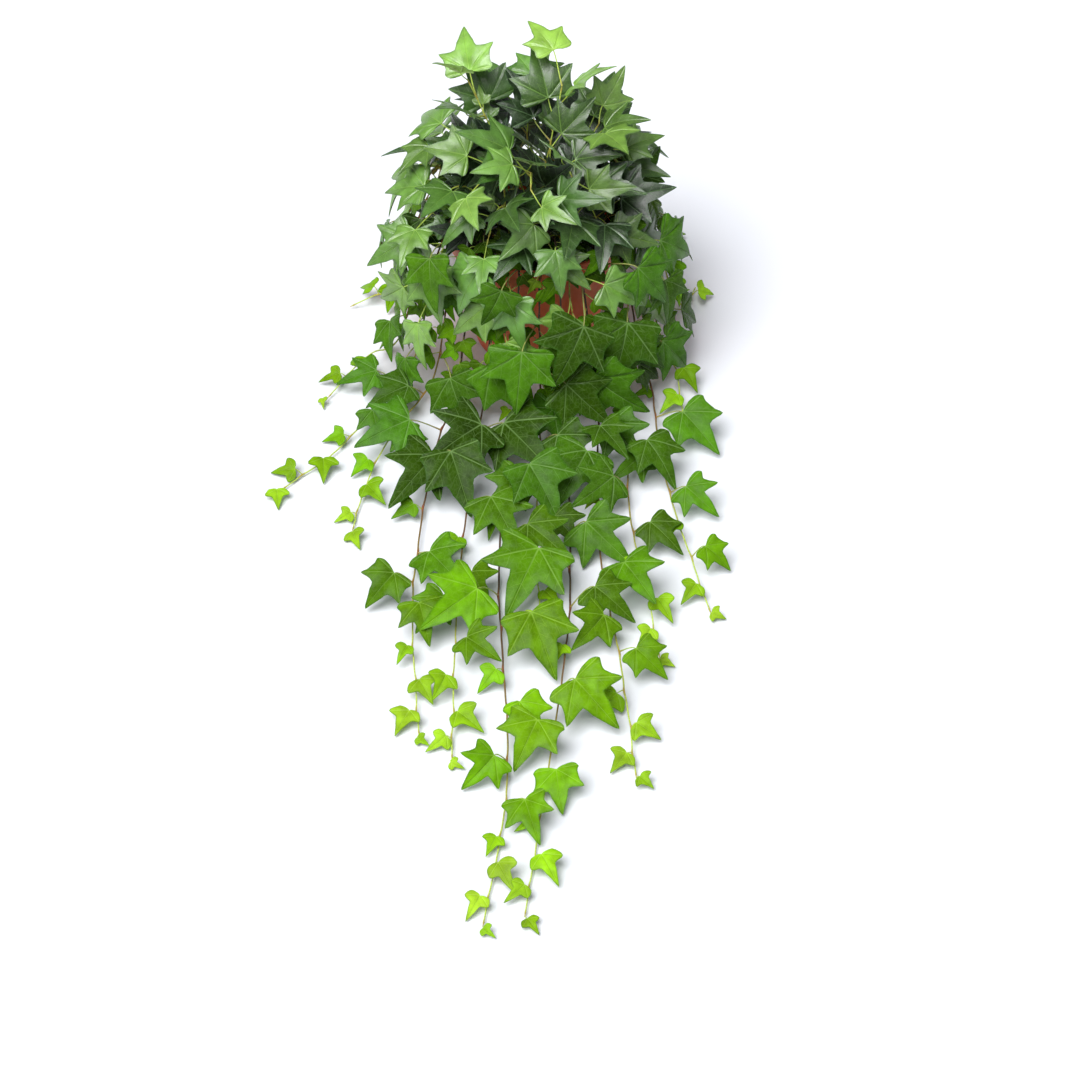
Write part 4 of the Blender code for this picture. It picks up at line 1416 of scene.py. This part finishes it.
# Fresh ivy leaf, upper side, on the long stems: a thin skin over juicy tissue. It looks yellow green at the
# tips and deeper green by the pot, with pale veins, a dark rim and little gloss
trail_upper = leaf_material(
    "ivy_leaf_fresh_upper_side",
    ages=((0.0, "#9CC22A"), (0.25, "#7FB00C"), (0.50, "#659A08"), (0.75, "#4C7808"), (1.0, "#3A600E")),
    vein_colours=((0.0, "#D3EE7A"), (0.5, "#A3CC50"), (1.0, "#93B870")),
    margin="#2A5212", vein_share=0.31, roughness=0.22, shine=0.07, relief=-1.2,
)

# Older ivy leaf, upper side, in the crown: a thick wax coat. It looks dark green with a cool pale sheen
crown_upper = leaf_material(
    "ivy_leaf_waxy_upper_side",
    ages=((0.0, "#9BC23E"), (0.25, "#7BA640"), (0.50, "#5C8C32"), (0.75, "#39641A"), (1.0, "#21400C")),
    vein_colours=((0.0, "#D3EE7A"), (0.5, "#9CCB5E"), (1.0, "#93B98E")),
    margin="#23481C", vein_share=0.34, roughness=0.34, shine=0.90, relief=-1.2,
)

# Ivy leaf, under side: no wax. It looks pale, matt and greyish, with veins that stand out
leaf_under = leaf_material(
    "ivy_leaf_matt_under_side",
    ages=((0.0, "#B9DC5A"), (0.4, "#8DB95A"), (1.0, "#7CA070")),
    vein_colours=((0.0, "#DDF0A0"), (1.0, "#B7CF9A")),
    margin="#5E8B3F", vein_share=0.60, roughness=0.55, shine=0.30, relief=1.4,
)

# Ivy stem: green and smooth at the tip, then brown bark. It looks thin, dull and reddish at its knots
stem_bark = bark_material(
    "ivy_stem_bark",
    ages=((0.0, "#B7CF55"), (0.25, "#968C40"), (0.55, "#705236"), (1.0, "#46382A")),
    knot_colour="#9A4C2A", knot_share=0.55, roughness=0.55,
)

# Leaf stalk: a juicy skin. It looks yellow green and a little glossy, and reddish where it leaves the stem
leaf_stalk = bark_material(
    "ivy_leaf_stalk",
    ages=((0.0, "#C3DC5A"), (0.5, "#9CB84C"), (1.0, "#8A8F4C")),
    knot_colour="#A55A3A", knot_share=0.60, roughness=0.45,
)

# Moulded polypropylene: an even orange red with a satin gloss
pot_plastic = plastic_material()

# Peat mix, crumbled by hand: near black, fibrous and without gloss
peat = crumb_material("peat_potting_mix", "#1C140E", "#4A3626", PEAT_GRAIN, 0.95)

# Expanded perlite: small, rough, off-white grains that stand out from the peat
perlite = crumb_material("perlite_grains", "#B9B4A8", "#EFEDE6", PERLITE_GRAIN, 0.9)

vines = all_vines()
clear = Clear(vines)
leaves = leaves_of_all(vines, clear)
young = young_leaves(vines, clear)
blades = {}
for kind, upper in (("trail", trail_upper), ("crown", crown_upper)):
    blades[kind, False] = blade_pattern(kind + "_blade", FULL_BLADE, FULL_VEINS, upper, leaf_under)
    blades[kind, True] = blade_pattern(kind + "_small_blade", SMALL_BLADE, SMALL_VEINS, upper, leaf_under)
stalk_pattern = rod_pattern("stalk_pattern", STALK_SIDES, STALK_SPANS)
for vine in vines:
    leafy_stem(vine, leaves[vine.name] + young[vine.name], blades, stalk_pattern)
for pattern in (*(blade.pattern for blade in blades.values()), stalk_pattern):
    bpy.data.objects.remove(pattern)
make_pot()
make_soil()
make_floor()
make_lights()
make_camera()

bpy.context.view_layer.update()
